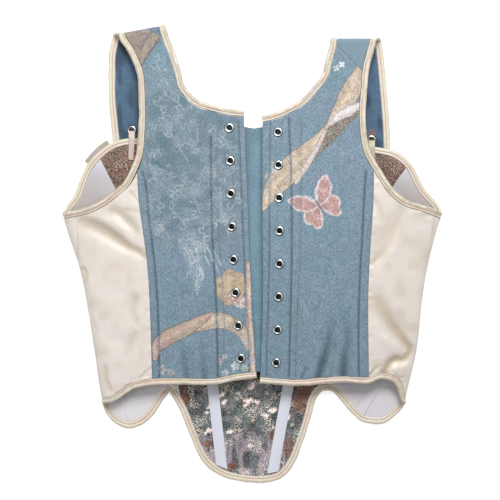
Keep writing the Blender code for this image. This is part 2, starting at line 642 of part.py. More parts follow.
def build_strap(side):
    """Strap from its seam on the back, over the shoulder fold, to its end under the front."""
    outer_near = seam_split(side, "outer", SEAM * 0.6)[1]
    inner_near = seam_split(side, "inner", SEAM * 0.6)[1]
    shares = np.linspace(0, 1, OVER_STEPS + 1)
    stations = []
    for a, b in zip(along(outer_near, shares), along(inner_near, shares)):
        stations.append([(*a, near_z(*a)), (*b, near_z(*b))])
    start, end = stations[-1], [(*STRAP_FAR[side][0][:2], 0.0), (*STRAP_FAR[side][0][2:], 0.0)]
    for k in range(1, LOOP_STEPS):
        angle = math.pi / 2 - math.pi * k / LOOP_STEPS
        station = []
        for p, q in zip(start, end):
            drift = (1 - math.sin(angle)) / 2
            base = np.array(p) * (1 - drift) + np.array(q) * drift
            z = (p[2] + q[2]) / 2 + (p[2] - q[2]) / 2 * math.sin(angle)
            station.append((base[0], base[1] + LOOP_REACH * math.cos(angle), z))
        stations.append(station)
    far_outer = smooth(strap_edge(side, "outer", STRAP_FAR))
    far_inner = smooth(strap_edge(side, "inner", STRAP_FAR))
    shares = np.linspace(0, 1, UNDER_STEPS + 1)
    for a, b in zip(along(far_outer, shares), along(far_inner, shares)):
        stations.append([(*a, 0.0), (*b, 0.0)])
    cols = STRAP_COLS
    points = np.zeros((len(stations), cols + 1, 3))
    for i, (a, b) in enumerate(stations):
        for j in range(cols + 1):
            share = j / cols
            points[i, j] = np.array(a) * (1 - share) + np.array(b) * share
            if i <= OVER_STEPS:
                points[i, j, 2] = near_z(*points[i, j, :2])
    normals = grid_normals(points) * (1 if side == "left" else -1)
    for j in range(cols + 1):
        normals[0, j] = slope_normal(near_z, *points[0, j, :2], True)
    normals[-1 - UNDER_STEPS:] = (0.0, 0.0, -1.0)
    cells = {(i, j): points[i, j] for i in range(len(stations)) for j in range(cols + 1)}
    slot = "beige_jacquard" if side == "left" else "blue_jacquard"
    strap = wall(f"strap_{side}", cells, {k: normals[k] for k in cells}, FAR_CLOTH, slot)
    x, y = STRAP_EYELETS[side]
    hole = (np.array([x, y, FAR_CLOTH]), np.array([0.0, 0.0, 1.0]))
    punch(strap, [hole])
    ring(f"strap_eyelet_{side}", *hole)
    return {"outer": [(points[i, 0], normals[i, 0]) for i in range(len(stations))],
            "inner": [(points[i, cols], normals[i, cols]) for i in range(len(stations))]}


def build_modesty():
    """Plain panel behind the lacing, sewn under the left back."""
    rows, cols = 12, len(MODESTY_TOP) - 1
    cells, normals = {}, {}
    for i in range(rows + 1):
        for j in range(cols + 1):
            x = -MODESTY_HALF + 2 * MODESTY_HALF * j / cols + 2
            low, high = -124.0, MODESTY_TOP[j]
            y = low + (high - low) * i / rows
            drop = CLOTH + SEAM + 0.35
            normal = slope_normal(near_z, x, y, True)
            cells[i, j] = np.array([x, y, near_z(x, y)]) - normal * drop
            normals[i, j] = normal
    wall("modesty_panel", cells, normals, 1.3, "plain_blue")


def build_tape(side):
    """Boning tape stitched to the inside of the front."""
    x0, y0, x1, y1 = TAPES[side]
    steps = 8
    path = [np.array([x0 + (x1 - x0) * k / steps, y0 + (y1 - y0) * k / steps, 0.0])
            for k in range(steps + 1)]
    for p in path:
        p[2] = far_z(p[0], p[1]) + FAR_CLOTH + SEAM
    up = [np.array([0.0, 0.0, 1.0])] * len(path)
    direction = np.array([x1 - x0, y1 - y0, 0.0])
    direction /= np.linalg.norm(direction)
    out = [np.array([direction[1], -direction[0], 0.0])] * len(path)
    out[0] = out[0] + direction * TAPE_SLANT[side]
    half = TAPE_WIDTH / 2
    profile = [(-half, 0.0), (half, 0.0), (half, TAPE_THICK * 0.6), (half - 1.5, TAPE_THICK),
               (1.5 - half, TAPE_THICK), (-half, TAPE_THICK * 0.6)]
    strip(f"boning_tape_{side}", path, up, out, profile, "white_lining")


def build_tie(side):
    """Ribbon tab from inside the front's top, over the binding, to the strap's eyelet."""
    path = [np.array(p, float) for p in TIES[side]]
    up = [np.array([0.0, 0.0, 1.0])] * len(path)
    out = [np.array([1.0, 0.0, 0.0])] * len(path)
    widths = np.linspace(0.72, 1.0, len(path))
    half = RIBBON_WIDTH / 2
    verts, faces = [], []
    for p, share in zip(path, widths):
        for a, b in ((-half, 0), (half, 0), (half, RIBBON_THICK), (-half, RIBBON_THICK)):
            verts.append(p + out[0] * a * share + up[0] * b)
    for i in range(len(path) - 1):
        for k in range(4):
            a, b = i * 4 + k, i * 4 + (k + 1) % 4
            faces.append([a, b, b + 4, a + 4])
    faces += [[0, 1, 2, 3], [len(verts) - 1 - k for k in range(4)]]
    place(f"ribbon_tie_{side}", verts, faces, "cream_binding")


def ribbon_tail():
    """Slack of the left ribbon tie, showing just outside the front's top edge."""
    dense = smooth(FRONT_TOP)[TAIL_ROWS[0]:TAIL_ROWS[1] + 1]
    line = along(dense, np.linspace(0, 1, 7))
    tangent = np.gradient(line, axis=0)
    out = np.stack([-tangent[:, 1], tangent[:, 0]], axis=1)
    out /= np.linalg.norm(out, axis=1, keepdims=True)
    start = SEAM + BINDING - TAIL_TUCK
    path = []
    for p, n in zip(line, out):
        x, y = p + n * start
        path.append(np.array([x, y, max(lift(x, y) - RIBBON_THICK - SEAM - 0.25, 0.0)]))
    outward = [np.array([*n, 0.0]) for n in out]
    width = TAIL_WIDTH + TAIL_TUCK
    profile = [(0, 0), (width, 0), (width, RIBBON_THICK * 0.7), (width - 0.6, RIBBON_THICK),
               (0, RIBBON_THICK)]
    strip("ribbon_tail_left", path, [np.array([0.0, 0.0, 1.0])] * 7, outward, profile,
          "cream_binding")


def join_rims(*rims):
    """One rim from several, each starting where the last one ends."""
    path = []
    for rim in rims:
        for p, n in rim:
            if path and np.linalg.norm(p - path[-1][0]) < 1.0:
                continue
            path.append((p, n))
    return path


def shorten(rim, first=0.0, last=0.0):
    """Pull the ends of a rim back along it, where it meets another binding."""
    rim = [(p.copy(), n) for p, n in rim]
    for end, inner, pull in ((0, 1, first), (-1, -2, last)):
        if pull:
            p, q = rim[end][0], rim[inner][0]
            rim[end] = (p + (q - p) * pull / np.linalg.norm(q - p), rim[end][1])
    return rim


def corner(near, far):
    """Shared direction where a rim turns the side fold; near ends and far starts there."""
    arrive, leave = near[-1][0] - near[-2][0], far[1][0] - far[0][0]
    return arrive / np.linalg.norm(arrive) + leave / np.linalg.norm(leave)


def build():
    for obj in list(bpy.data.objects):
        bpy.data.objects.remove(obj, do_unlink=True)
    backs = {side: build_back(side) for side in SIDES}
    side_backs = {side: build_side_back(side) for side in SIDES}
    side_fronts = {side: build_side_front(side) for side in SIDES}
    front = build_front()
    straps = {side: build_strap(side) for side in SIDES}
    build_modesty()
    ribbon_tail()
    corners = {}
    for side in SIDES:
        left, panel = side == "left", side_backs[side]
        corners[side] = {"top": corner(panel["arm"], panel["far_top"]),
                         "hem": corner(panel["hem"], panel["far_hem"])}
        binding(f"armhole_binding_{side}",
                join_rims(shorten(panel["arm"][::-1], first=SEAM / 2),
                          backs[side]["arm"], straps[side]["outer"]),
                not left, -corners[side]["top"])
        binding(f"neck_binding_{side}",
                join_rims(backs[side]["neck"], straps[side]["inner"]), left)
        binding(f"back_hem_binding_{side}",
                join_rims(shorten(panel["hem"][::-1], first=SEAM / 2), backs[side]["hem"]),
                left, -corners[side]["hem"])
        for i, (centre, axis) in enumerate(eyelet_points(side)):
            ring(f"eyelet_{side}_{i + 1}", centre, axis)
        build_tape(side)
        build_tie(side)
    for edge, name, flip in (("hem", "front_hem_binding", False),
                             ("top", "front_top_binding", True)):
        far = "far_" + edge
        rim = join_rims(side_backs["left"][far], side_fronts["left"][far], front[far],
                        side_fronts["right"][far][::-1], side_backs["right"][far][::-1])
        rim = shorten(rim, first=SEAM / 2, last=SEAM / 2)
        binding(name, rim, flip, corners["left"][edge], -corners["right"][edge])


build()
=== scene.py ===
"""Laced corset top lying flat on its front: the look of every piece, on the frame's solids.

Tables and sizes are in millimetres in the garment's own drawing frame, with X across it,
+Y towards the shoulders and +Z up. MM and ORIGIN turn them into the frame's metres.
"""
import math

import bpy
import numpy as np
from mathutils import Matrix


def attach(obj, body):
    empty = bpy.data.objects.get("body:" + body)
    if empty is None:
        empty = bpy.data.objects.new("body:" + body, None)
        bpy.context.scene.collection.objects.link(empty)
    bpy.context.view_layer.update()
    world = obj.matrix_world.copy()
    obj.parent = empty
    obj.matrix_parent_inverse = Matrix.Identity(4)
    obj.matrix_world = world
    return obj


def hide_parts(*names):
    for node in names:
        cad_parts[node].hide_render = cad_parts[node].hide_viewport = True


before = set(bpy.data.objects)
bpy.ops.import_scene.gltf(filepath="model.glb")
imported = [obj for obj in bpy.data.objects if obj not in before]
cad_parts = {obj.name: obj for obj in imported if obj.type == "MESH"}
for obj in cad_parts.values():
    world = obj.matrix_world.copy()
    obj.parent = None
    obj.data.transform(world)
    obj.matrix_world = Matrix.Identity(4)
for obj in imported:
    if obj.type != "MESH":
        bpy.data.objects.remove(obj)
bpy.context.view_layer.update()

MM = 0.001
ORIGIN = (-0.13, -1.25)   # middle of the outline in the drawing frame

# Cloth and seams
CLOTH = 1.8
FAR_CLOTH = 1.6
SEAM = 0.3
BINDING = 7.0
BINDING_THICK = 2.4
PROUD = 0.4

# Lying form
FOLD_Z = 7.0
ROUND = 2.6
UNDER_TURN, UNDER_ROUND = 12.0, 2.2
FOLD_EASE = 6.0           # the satin's waves fade out this close to the side fold
# Rise of the lower layer over the strap ends: half width, its soft edge, start below, slope
STRAP_LIFT = 3.3
LIFT_HALF, LIFT_EDGE, LIFT_BELOW, LIFT_SLOPE = 60, 28, 36, 30

# Lacing hardware
EYELETS_PER_SIDE = 8
EYELET_HOLE = 2.5
EYELET_BARREL = 3.0
EYELET_FLANGE = 5.0
EYELET_HEIGHT = 1.1

RING_FOOT, RING_TOP = 0.25, 0.2   # the barrel stops above the cloth's back, and in the flange
# Painted shade and highlight on an eyelet round its section, from the hole over the flange and down
# the barrel
# dark as painted shade down the hole and at the roll's outer foot, pale as a painted highlight on
# top
RING_LIGHT_AND_SHADE = (0.04, 0.04, 0.05, 0.06, 0.16, 0.5, 0.8, 0.62, 0.3, 0.14, 0.08, 0.3, 0.3, 0.3)

# Boning tapes, modesty panel and ribbon ties
TAPE_WIDTH = 11.5
TAPE_PAST = 0.8            # the tapes run this far past their drawn lower ends
MODESTY_HALF, MODESTY_SHIFT = 46.0, 2.0
MODESTY_LOW = -124.0
MODESTY_THICK, MODESTY_GAP = 1.3, 0.35
MODESTY_TOP = (138.0, 137.0, 133.4, 137.5, 138.0)   # y of its upper edge, left to right
MODESTY_SAG, SAG_WIDTH = 4.0, 8.5                   # it hangs loose below the eyelets
TAPE_CUT = 8               # the slanted cut fades out over one part in so many of the tape
TIE_END = ((1.8, 1.9), (3.0, 0.7))   # step on and height of a tie's last points, in the eyelet
TIE_NARROW, TIE_PINCH = 0.72, 0.4    # share of its width at the start, and lost in the eyelet
RIBBON_WIDTH = 7.4
RIBBON_THICK = 1.0
TAIL_WIDTH = 4.8
TAIL_TUCK = 1.6
TAIL_ROWS = (50, 79)       # dense points of the front's top edge that the tail follows

# Sewing and weave
STITCH = 2.7               # from one stitch to the next
STITCH_LENGTH, STITCH_WIDTH, STITCH_HEIGHT = 1.8, 0.8, 0.4
RIB = 0.9                  # pitch of the woven ribs
STITCHED_WIDTH = 0.9       # half width of the trough along a stitched line
BONE_RISE, BONE_EDGE = 0.5, 1.6
PUCKER_HEIGHT, PUCKER_SIZE, PUCKER_REACH = 0.55, 4.0, 5.5
MARGIN = 0.1               # room round an eyelet's barrel

# Slight waves of the cloth: height, size and seed of each noise
BACK_WAVES = ((0.16, 17, 84), (0.07, 6, 85))
SATIN_WAVES = ((0.4, 21, 81), (0.15, 8, 82))

# Bias binding across its width: places from its inner to its outer edge, and where its line
# of stitches lies
PUFF = (0.0, 0.12, 0.24, 0.33, 0.42, 0.55, 0.68, 0.80, 0.90, 0.97, 1.0)
GROOVE = 0.33
# The same on its other face, outer to inner edge, with the rise there towards the cloth
UNDERSIDE = ((0.90, 0.15), (0.72, 0.0), (0.52, 0.1), (0.42, 0.55), (0.32, 0.1), (0.12, 0.1))

# Rise of a binding's inner strip and outer roll, dip at its stitches, drop of its two edges
INNER_RISE, ROLL_RISE, GROOVE_DIP, OUTER_DROP, INNER_DROP = 0.25, 0.85, 0.35, 0.9, 0.5
# Change of a binding's roll and width along it: height and size of each noise
ROLL_WAVES, SWAY_WAVES = ((0.32, 6.5), (0.22, 2.6)), ((0.3, 11.0), (0.12, 3.5))

# Curves and noise
STEPS = 12                 # dense points from one given point of a curve to the next
NOISE_CELLS = 211          # the noise repeats after so many cells
NOISE_OFFSET = 500         # keeps the numbers of its cells above zero
FAR_AWAY = 1e3             # distance that stands for nowhere near

SHARP = 55                 # degrees between faces from which an edge is drawn sharp

SIDES = ("left", "right")

# y, then x of the side fold on the left and on the right
FOLD = ((45, -202, 202), (25, -196.5, 195.5), (-16, -183, 185.5), (-48, -176.5, 180.5),
        (-101, -168, 174.5), (-136, -163, 166.5), (-158, -159, 161.5))

# y, then x of the seam between back and side back on the left and on the right
NEAR_SEAM = ((100, -122.3, 127.8), (82, -121.5, 128), (57, -120, 127.5), (-6, -111.5, 123.5),
             (-48, -108.5, 122), (-131, -106, 123), (-146, -105.5, 123.5))

# y, then x of the two centre-back edges that are laced together
CENTRE = ((158, -9.5, 10.5), (121, -8, 10.5), (57, -5.5, 10.5), (4, -3.5, 10.8), (-38, -1.5, 11),
          (-85, 1.8, 10), (-112, 3.3, 8.8), (-146, 4.6, 8))

# y, then the height of the upper layer along the middle
CROWN = ((-160, 19.5), (-100, 23), (0, 25), (90, 22), (150, 18), (190, 15), (232, 12.5))

# Armhole, x and y inside its binding: side fold, then up to the foot of the strap
ARMHOLE = {
    "left": ((-200, 37.5), (-178, 41.5), (-161.5, 48), (-151, 54.5), (-140.5, 63), (-130, 72.5),
             (-121, 88), (-116, 104), (-114, 122), (-113, 142), (-113.2, 163), (-114, 179.5)),
    "right": ((199.3, 37.5), (178, 45.5), (165, 49), (156, 53.5), (148, 60), (140.5, 68.5),
              (128, 88.5), (119, 104), (114.5, 122), (112.8, 142), (113.3, 163), (115, 179.5)),
}
ARMHOLE_SEAM = 6

# Neckline inside its binding: centre back, then out to the foot of the strap
NECK = {
    "left": ((-9, 145.5), (-24, 146.5), (-45, 151.8), (-57, 155), (-66.5, 161), (-74, 170),
             (-79, 177.3)),
    "right": ((10.5, 139.2), (27, 143.3), (44, 151.5), (56, 158.5), (66, 169), (72, 177),
              (75.7, 180.5)),
}

# Back hem above its binding: side fold, near seam, centre back
BACK_HEM = {
    "left": ((-159.7, -152), (-149, -149.8), (-140, -143.5), (-130, -136.5), (-119, -133.3),
             (-106, -131), (-75, -130.6), (-40, -130.7), (-20, -126.5), (4, -123.7)),
    "right": ((162.2, -152), (160, -141), (156, -133), (149, -128), (140.5, -125.5), (133, -125.4),
              (123, -129.3), (95, -128.5), (66, -130.5), (50, -132), (29, -131), (8.3, -129)),
}
HEM_SEAM = {"left": 5, "right": 6}

# Strap edges inside their bindings, from the foot: outer x, y and inner x, y
STRAP_NEAR = {
    "left": ((-114, 179.5, -79, 177.3), (-115, 190, -81.5, 188), (-118.5, 202, -85, 200.5),
             (-123, 212, -89.5, 213), (-128.5, 222, -94, 224), (-134.5, 231, -98.5, 237)),
    "right": ((115, 179.5, 75.7, 180.5), (115.5, 190, 81, 190), (117.5, 202, 84, 202),
              (120, 212, 86.5, 212), (122.5, 219, 88.5, 219), (123.5, 224.5, 89.5, 224.5)),
}
STRAP_SEAM_ROW = {"left": ((1, 0.77), (4, 0.6)), "right": ((1, 0.4), (4, 0.7))}
STRAP_FAR = {
    "left": ((-141.5, 230, -105.5, 237.2), (-145.5, 213, -110, 222), (-146, 195, -112.5, 204),
             (-146, 168, -113.5, 175), (-143.5, 140, -112.5, 146), (-141.5, 121, -111.5, 123),
             (-140, 104, -111, 105)),
    "right": ((130.5, 224.5, 97.5, 224.5), (133, 206, 101, 206), (134.5, 190, 103.5, 190),
              (136.5, 168, 106, 168), (138.5, 142, 108, 142), (139.5, 121, 110, 121),
              (140.5, 101, 111, 101)),
}
LOOP_REACH = 5.0
STRAP_CORNER = ((-117, 240.5), (-102, 249), (-93, 231), (-100.8, 233), (-111.8, 238))

# Front's top edge inside its binding: left fold to right fold
FRONT_TOP = ((-200, 37.5), (-192, 48), (-183.5, 58.6), (-177, 76.6), (-170.5, 90), (-161.5, 101),
             (-153.7, 108), (-145, 112.6), (-132, 116), (-98, 113), (-55, 99), (0, 93), (55, 97.5),
             (98, 105.5), (126, 107), (145, 104.3), (155, 99.5), (163, 92), (171.7, 75.5),
             (178, 65), (186, 56), (193.5, 47), (199.3, 37.5))
TOP_SPLITS = (0, 2, 5, 17, 20, 22)

# Front's hem inside its binding: left fold, hip tab, tongue, hip tab, right fold
FRONT_HEM = ((-159.7, -152), (-151, -164.5), (-142.5, -173.5), (-132, -177.8), (-121, -174.5),
             (-110.8, -165.5), (-103, -154), (-97, -145.5), (-87, -139.5), (-77, -151),
             (-69, -166), (-62, -184), (-53, -206), (-44, -219.5), (-29, -229.8), (2.7, -236),
             (27, -232), (38.5, -218), (46, -200), (54.5, -174), (61.5, -150), (71, -139.5),
             (85, -138.5), (97, -147.5), (108, -161), (119, -171), (130, -175), (140.5, -171.5),
             (153, -161.5), (162.2, -152))
HEM_SPLITS = (0, 3, 9, 21, 25, 29)

# Side seams and front seams on the lower layer, hem to top, between their split points
SIDE_SEAM = {"left": ((-143, -140), (-155, -75), (-171, 5)),
             "right": ((138, -135), (154, -75), (172, 5))}
FRONT_SEAM = {"left": ((-86.5, -107), (-98, -61), (-113, -11), (-130, 34), (-146, 70)),
              "right": ((79, -117), (91.5, -80), (105.5, -32), (120.5, 15), (148, 70))}

# Largest folds of the upper layer: x and y of both ends, half width, height
FOLDS = ((-176, 33, -116, 0, 9.0, -3.0), (-149, 54, -119, 20, 6.5, -2.2),
         (-181, -15, -168, -22, 6.0, -1.4), (-132, -40, -116, -62, 7.0, -1.0),
         (-150, -88, -122, -96, 8.0, -1.2), (142, -58, 165, -98, 11.0, -2.6),
         (140, -118, 166, -101, 7.0, -2.0), (152, 42, 131, -10, 8.0, -1.5),
         (72, -125, 82, -75, 6.0, 1.2), (98, -80, 100, -127, 6.5, 1.2),
         (-58, -92, -57, -130, 5.5, 1.0))

# First eyelet, bend of the row and last eyelet on each centre back edge, x and y
EYELET_ROWS = {"left": ((-24.4, 133.5), (-20.8, 8), (-12.3, -110)),
               "right": ((26.9, 129), (28.6, 0), (25.2, -114.5))}
STRAP_EYELETS = {"left": (-128.3, 132.0), "right": (126.8, 121.8)}

# Boning tapes on the inside of the front: x, y at the tongue and at the top
TAPES = {"left": (-32.8, -225.6, -62.5, 40.0), "right": (21.6, -231.4, 70.5, 40.0)}
TAPE_SLANT = {"left": -0.57, "right": 0.36}   # slope of the cut at each tape's lower end

# Ribbon ties, from the inside of the front over its edge to the strap's eyelet: x, y, height
TIES = {
    "left": ((-128.8, 100.5, 5.3), (-129.0, 107, 5.5), (-128.6, 114, 6.1), (-128.3, 121, 6.3),
             (-128.2, 126, 5.6), (-128.3, 131, 3.4)),
    "right": ((129.6, 90.5, 5.3), (128.2, 97, 5.5), (127.4, 104, 6.1), (127.1, 111.5, 6.3),
              (126.9, 116.5, 5.6), (126.8, 121, 3.4)),
}

# Creases of the satin on the upper layer: line, half widths and heights at its two ends
SATIN_CREASES = (
    (((-176, 36), (-159.5, 28.5), (-145.5, 19.5), (-132.5, 9.5), (-120.5, 4), (-114, -1)),
     (9.0, 3.0), (-1.1, -1.3)),
    (((-170, 40), (-156, 36), (-142, 27), (-128, 15)), (5.0, 4.0), (0.9, 0.8)),
    (((-147, 47), (-136.5, 41.5), (-131, 35.5), (-122, 26)), (6.5, 4.0), (-1.1, -0.6)),
    (((-133, 47.5), (-126, 46.5), (-121, 45)), (2.2, 1.2), (-0.9, -0.7)),
    (((-128, 66), (-124, 60), (-120.5, 56)), (2.2, 1.2), (-0.9, -0.6)),
    (((-182, -15.5), (-179, -14.5), (-176, -21), (-177, -29)), (1.6, 3.5), (-1.0, -0.3)),
    (((-186, 31), (-185.5, 14), (-185, -6)), (0.8, 0.8), (-0.45, -0.3)),
    (((-124, -46), (-126, -58), (-122, -70)), (5.0, 4.0), (-0.7, -0.4)),
    (((-124, -84), (-128, -93), (-132, -101)), (4.5, 6.0), (-0.7, -0.4)),
    (((-156, -120), (-155, -132), (-150, -143)), (4.0, 3.0), (-0.6, -0.6)),
    (((-118.5, -130), (-113, -124.5), (-108, -121)), (1.5, 1.5), (-0.8, -0.4)),
    (((-170, -60), (-164, -72), (-160, -90)), (4.0, 3.0), (0.5, 0.3)),
    (((158, 46), (149.5, 27.5), (141.5, 6.5), (132.5, -4), (126, -9)), (7.0, 4.0), (-0.5, -0.8)),
    (((168, 42), (162, 22), (150, 2)), (6.0, 6.0), (0.5, 0.3)),
    (((133, -50), (144, -68), (154, -82), (161, -91), (167, -99)), (9.0, 4.6), (-0.7, -1.8)),
    (((142, -90), (150, -96), (156, -104)), (6.0, 5.0), (0.8, 0.9)),
    (((139, -125), (146, -114), (152, -111), (159, -111), (166, -105)), (5.0, 4.2), (-1.7, -1.5)),
    (((150, -122), (157, -123), (164, -117)), (5.0, 4.0), (0.8, 0.6)),
    (((124, -127), (129, -121), (134, -118)), (1.5, 2.5), (-0.9, -0.5)),
    (((152, -128), (156, -131), (160, -130)), (1.5, 1.5), (-0.7, -0.7)),
    (((193, 34), (188.5, 9.5), (184.5, -14)), (1.2, 1.0), (-0.8, -0.4)),
    (((128, 60), (134, 50), (138, 38)), (3.0, 4.0), (-0.5, -0.3)),
)

# Creases of the blue cloth, and of the lining inside the hip tabs and the tongue
BLUE_CREASES = (
    (((84, -70), (79.5, -95), (74, -115), (69.5, -130)), (5.5, 3.4), (-0.4, -2.0)),
    (((88, -84), (85, -104), (80, -128)), (4.0, 4.0), (0.4, 1.2)),
    (((101, -66), (100, -92), (97, -110), (95.5, -130)), (4.5, 3.6), (-0.3, -1.7)),
    (((56.5, -120), (54, -126), (52, -131)), (1.6, 1.6), (-0.6, -1.0)),
    (((106, -90), (105, -110), (104, -129)), (3.5, 3.5), (0.3, 0.8)),
    (((-74, -96), (-72, -112), (-69, -130)), (4.0, 3.0), (-0.3, -0.9)),
    (((-52, -100), (-51, -116), (-50, -131)), (3.5, 3.0), (-0.3, -0.8)),
    (((-98, 118), (-90, 106), (-84, 92)), (5.0, 4.0), (-0.7, -0.4)),
    (((-104, 96), (-96, 90), (-88, 88)), (4.0, 3.0), (-0.5, -0.3)),
)
LINING_CREASES = (
    (((140, -132), (130, -149.5), (120, -171)), (2.6, 3.2), (1.0, 1.2)),
    (((133, -130), (123, -147), (112, -165)), (2.2, 2.2), (-0.5, -0.8)),
    (((-120, -140), (-113, -152), (-108, -166)), (3.0, 3.0), (0.8, 0.6)),
    (((-150, -150), (-141, -160), (-134, -174)), (3.0, 2.0), (0.6, 0.5)),
)

# Stitched lines of the backs, each with its depth; and the raised boning channels beside them
STITCHED = {
    "left": ((((-44, 124), (-43.5, 64), (-41.5, 5), (-38.5, -46), (-37.5, -78), (-36.5, -130)),
              0.55),
             (((-37, 131), (-37, 96), (-35.5, 40), (-33, -10), (-30, -60), (-30, -130)), 0.22),
             (((-116.5, 87), (-112.5, 72), (-109.5, 40), (-105, 5), (-101, -36), (-99, -80),
               (-98.5, -130)), 0.55),
             (((-15, 140), (-12.5, 90), (-10.5, 40), (-9, 5), (-7, -40), (-4.5, -85),
               (-3, -124)), 0.4)),
    "right": ((((38.5, 143), (39.5, 116), (41, 74), (41.5, 15), (40.5, -46), (38.5, -129)), 0.5),
              (((51.5, 144), (51.5, 60), (50.5, 0), (48.5, -46), (46.5, -96), (46, -129)), 0.22),
              (((119.8, 88), (118, 60), (116, 20), (113.5, -20), (112, -76), (112.5, -128)),
               0.55),
              (((19, 139), (18.5, 100), (18, 40), (18, 0), (17, -46), (15.5, -96), (15, -128)),
               0.35)),
}
# Rows of stitches that show beside those lines: number of the line, step aside, upper end
STITCH_ROWS = {"left": ((0, 1.9, 140), (1, 0.6, 120), (2, 2.0, 80), (3, 1.8, 138)),
               "right": ((0, 1.9, 140), (1, 0.6, 66), (2, 2.0, 80), (3, 1.8, 138))}
BONES = {
    "left": ((((-40.5, 130), (-39.5, 50), (-37, -10), (-34, -60), (-33.3, -130)), 2.2),
             (((-119, 80), (-115.5, 50), (-109.5, 5), (-104.8, -48), (-102.5, -130)), 2.4),
             (((-11, 140), (-8.3, 60), (-6.4, 5), (-4, -50), (-1, -90), (1, -124)), 1.8)),
    "right": ((((45, 142), (45.5, 70), (46, 10), (44.5, -46), (42.3, -129)), 3.0),
              (((123.8, 80), (122.8, 40), (119.5, -10), (117.6, -60), (118, -128)), 2.6),
              (((14.8, 139), (14.6, 40), (14, -40), (12, -100), (11.5, -128)), 2.2)),
}

# Cells along and across the panels, as counts of coarse cells
SEAM_ROWS, ARM_ROWS, STRAP_ROWS = 11, 5, 4
STRAP_COLS, NECK_COLS = 4, 6
NEAR_COLS, FAR_COLS, SIDE_ROWS = 8, 4, 20
FRONT_ROWS, FRONT_COLS, SIDE_FRONT_COLS = 14, 22, 9
OVER_STEPS, LOOP_STEPS, UNDER_STEPS, MITRE_STEPS = 3, 8, 8, 4
# Small cells to a coarse cell, on each kind of panel
BACK_FINE, BACK_TALL, SIDE_FINE, STRAP_FINE, SIDE_FRONT_FINE, FRONT_FINE = 12, 20, 8, 6, 5, 7
MODESTY_ROWS, MODESTY_COLS, TAPE_STEPS, TAIL_STEPS, RING_SIDES = 120, 48, 160, 48, 40

FLOATS = 30   # pale floats of thread that show on the tongue's inside

# Copper parts of the tongue's inside: x, y, half width, half height
COPPER_PATCHES = ((53, -150, 9, 18), (59, -166, 6, 12), (39, -208, 7, 12), (22, -192, 4, 10),
                  (-73, -150, 5, 14), (-48, -202, 7, 4), (-22, -226, 6, 4))

# Colours
BLUE = (0.134, 0.200, 0.250)
TEAL_BLUE, LILAC_BLUE = (0.105, 0.200, 0.235), (0.160, 0.195, 0.280)
FACING = (0.128, 0.180, 0.236)
STITCH_BLUE = (0.32, 0.37, 0.42)
PALE_BLUE = (0.36, 0.40, 0.42)
MODESTY_BLUE = (0.116, 0.205, 0.258)
# Dark teal used as painted shade in the blue's creases, along the stitched lines and beside the
# modesty gap
DEEP_TEAL = (0.030, 0.060, 0.085)
INSIDE_BLUE = (0.046, 0.098, 0.160)
CREAM = (0.585, 0.54, 0.493)
# Tan of the satin's random mottle and of the painted shade in its creases
CREASE_TAN = (0.36, 0.285, 0.185)
BINDING_CREAM = (0.55, 0.505, 0.425)
BINDING_PINK = (0.56, 0.46, 0.395)
BINDING_GREEN = (0.50, 0.475, 0.345)
# Tan and olive used as painted shade in a binding's groove and along its edges
TAN, OLIVE_TAN = (0.27, 0.19, 0.11), (0.25, 0.215, 0.145)
WHITE = (0.56, 0.56, 0.61)
TAPE_WHITE = (0.54, 0.55, 0.62)
SHADED_WHITE = (0.35, 0.315, 0.30)
BEIGE = (0.235, 0.195, 0.16)
MAUVE = (0.195, 0.16, 0.155)
GOLD = (0.33, 0.245, 0.16)
PALE_GOLD = (0.44, 0.35, 0.265)
OLD_PINK = (0.33, 0.20, 0.18)
PALE_PINK = (0.45, 0.29, 0.285)
LILAC = (0.38, 0.33, 0.35)
PALE_LILAC = (0.50, 0.46, 0.46)
BROWN = (0.09, 0.055, 0.04)
OLIVE = (0.12, 0.105, 0.065)
PLUM = (0.11, 0.055, 0.085)
SILVER = (0.62, 0.645, 0.65)
TEAL_THREAD, GREY_THREAD = (0.036, 0.078, 0.086), (0.115, 0.120, 0.125)
LILAC_THREAD, DARK_THREAD = (0.24, 0.20, 0.25), (0.012, 0.022, 0.026)
COPPER, DARK_COPPER = (0.21, 0.080, 0.042), (0.085, 0.036, 0.028)
PINK_THREAD = (0.85, 0.70, 0.64)
FLECK_PALE = (0.78, 0.66, 0.57)
PATCH_TEAL = (0.060, 0.135, 0.165)
ROSE, HEATHER, LIME = (0.35, 0.16, 0.20), (0.30, 0.18, 0.23), (0.36, 0.37, 0.22)
GREY_PETAL, SAND_PETAL = (0.28, 0.27, 0.26), (0.31, 0.29, 0.27)
WING_EDGE, WING_LIGHT = (0.60, 0.56, 0.57), (0.66, 0.66, 0.67)
FOLD_SHADE = (0.26, 0.235, 0.20)
LILAC_WHITE = (0.52, 0.49, 0.60)
LEFT_TAB_WHITE, RIGHT_TAB_WHITE = (0.57, 0.55, 0.56), (0.47, 0.44, 0.45)
DEEP_BROWN = (0.03, 0.016, 0.012)
STRAP_STAIN, STRAP_SAND = (0.17, 0.10, 0.10), (0.30, 0.245, 0.18)
CORNER_BLUE, CORNER_LILAC = (0.08, 0.135, 0.18), (0.15, 0.17, 0.24)
MODESTY_SHADE = (0.105, 0.125, 0.175)
HOLE_SHADOW_BLACK = (0.012, 0.010, 0.010)
# Darker copies of the tie's ribbon colours, for the tail: painted shade
TAIL_SHADED_PINK, TAIL_SHADED_GREEN = (0.34, 0.30, 0.28), (0.30, 0.28, 0.20)

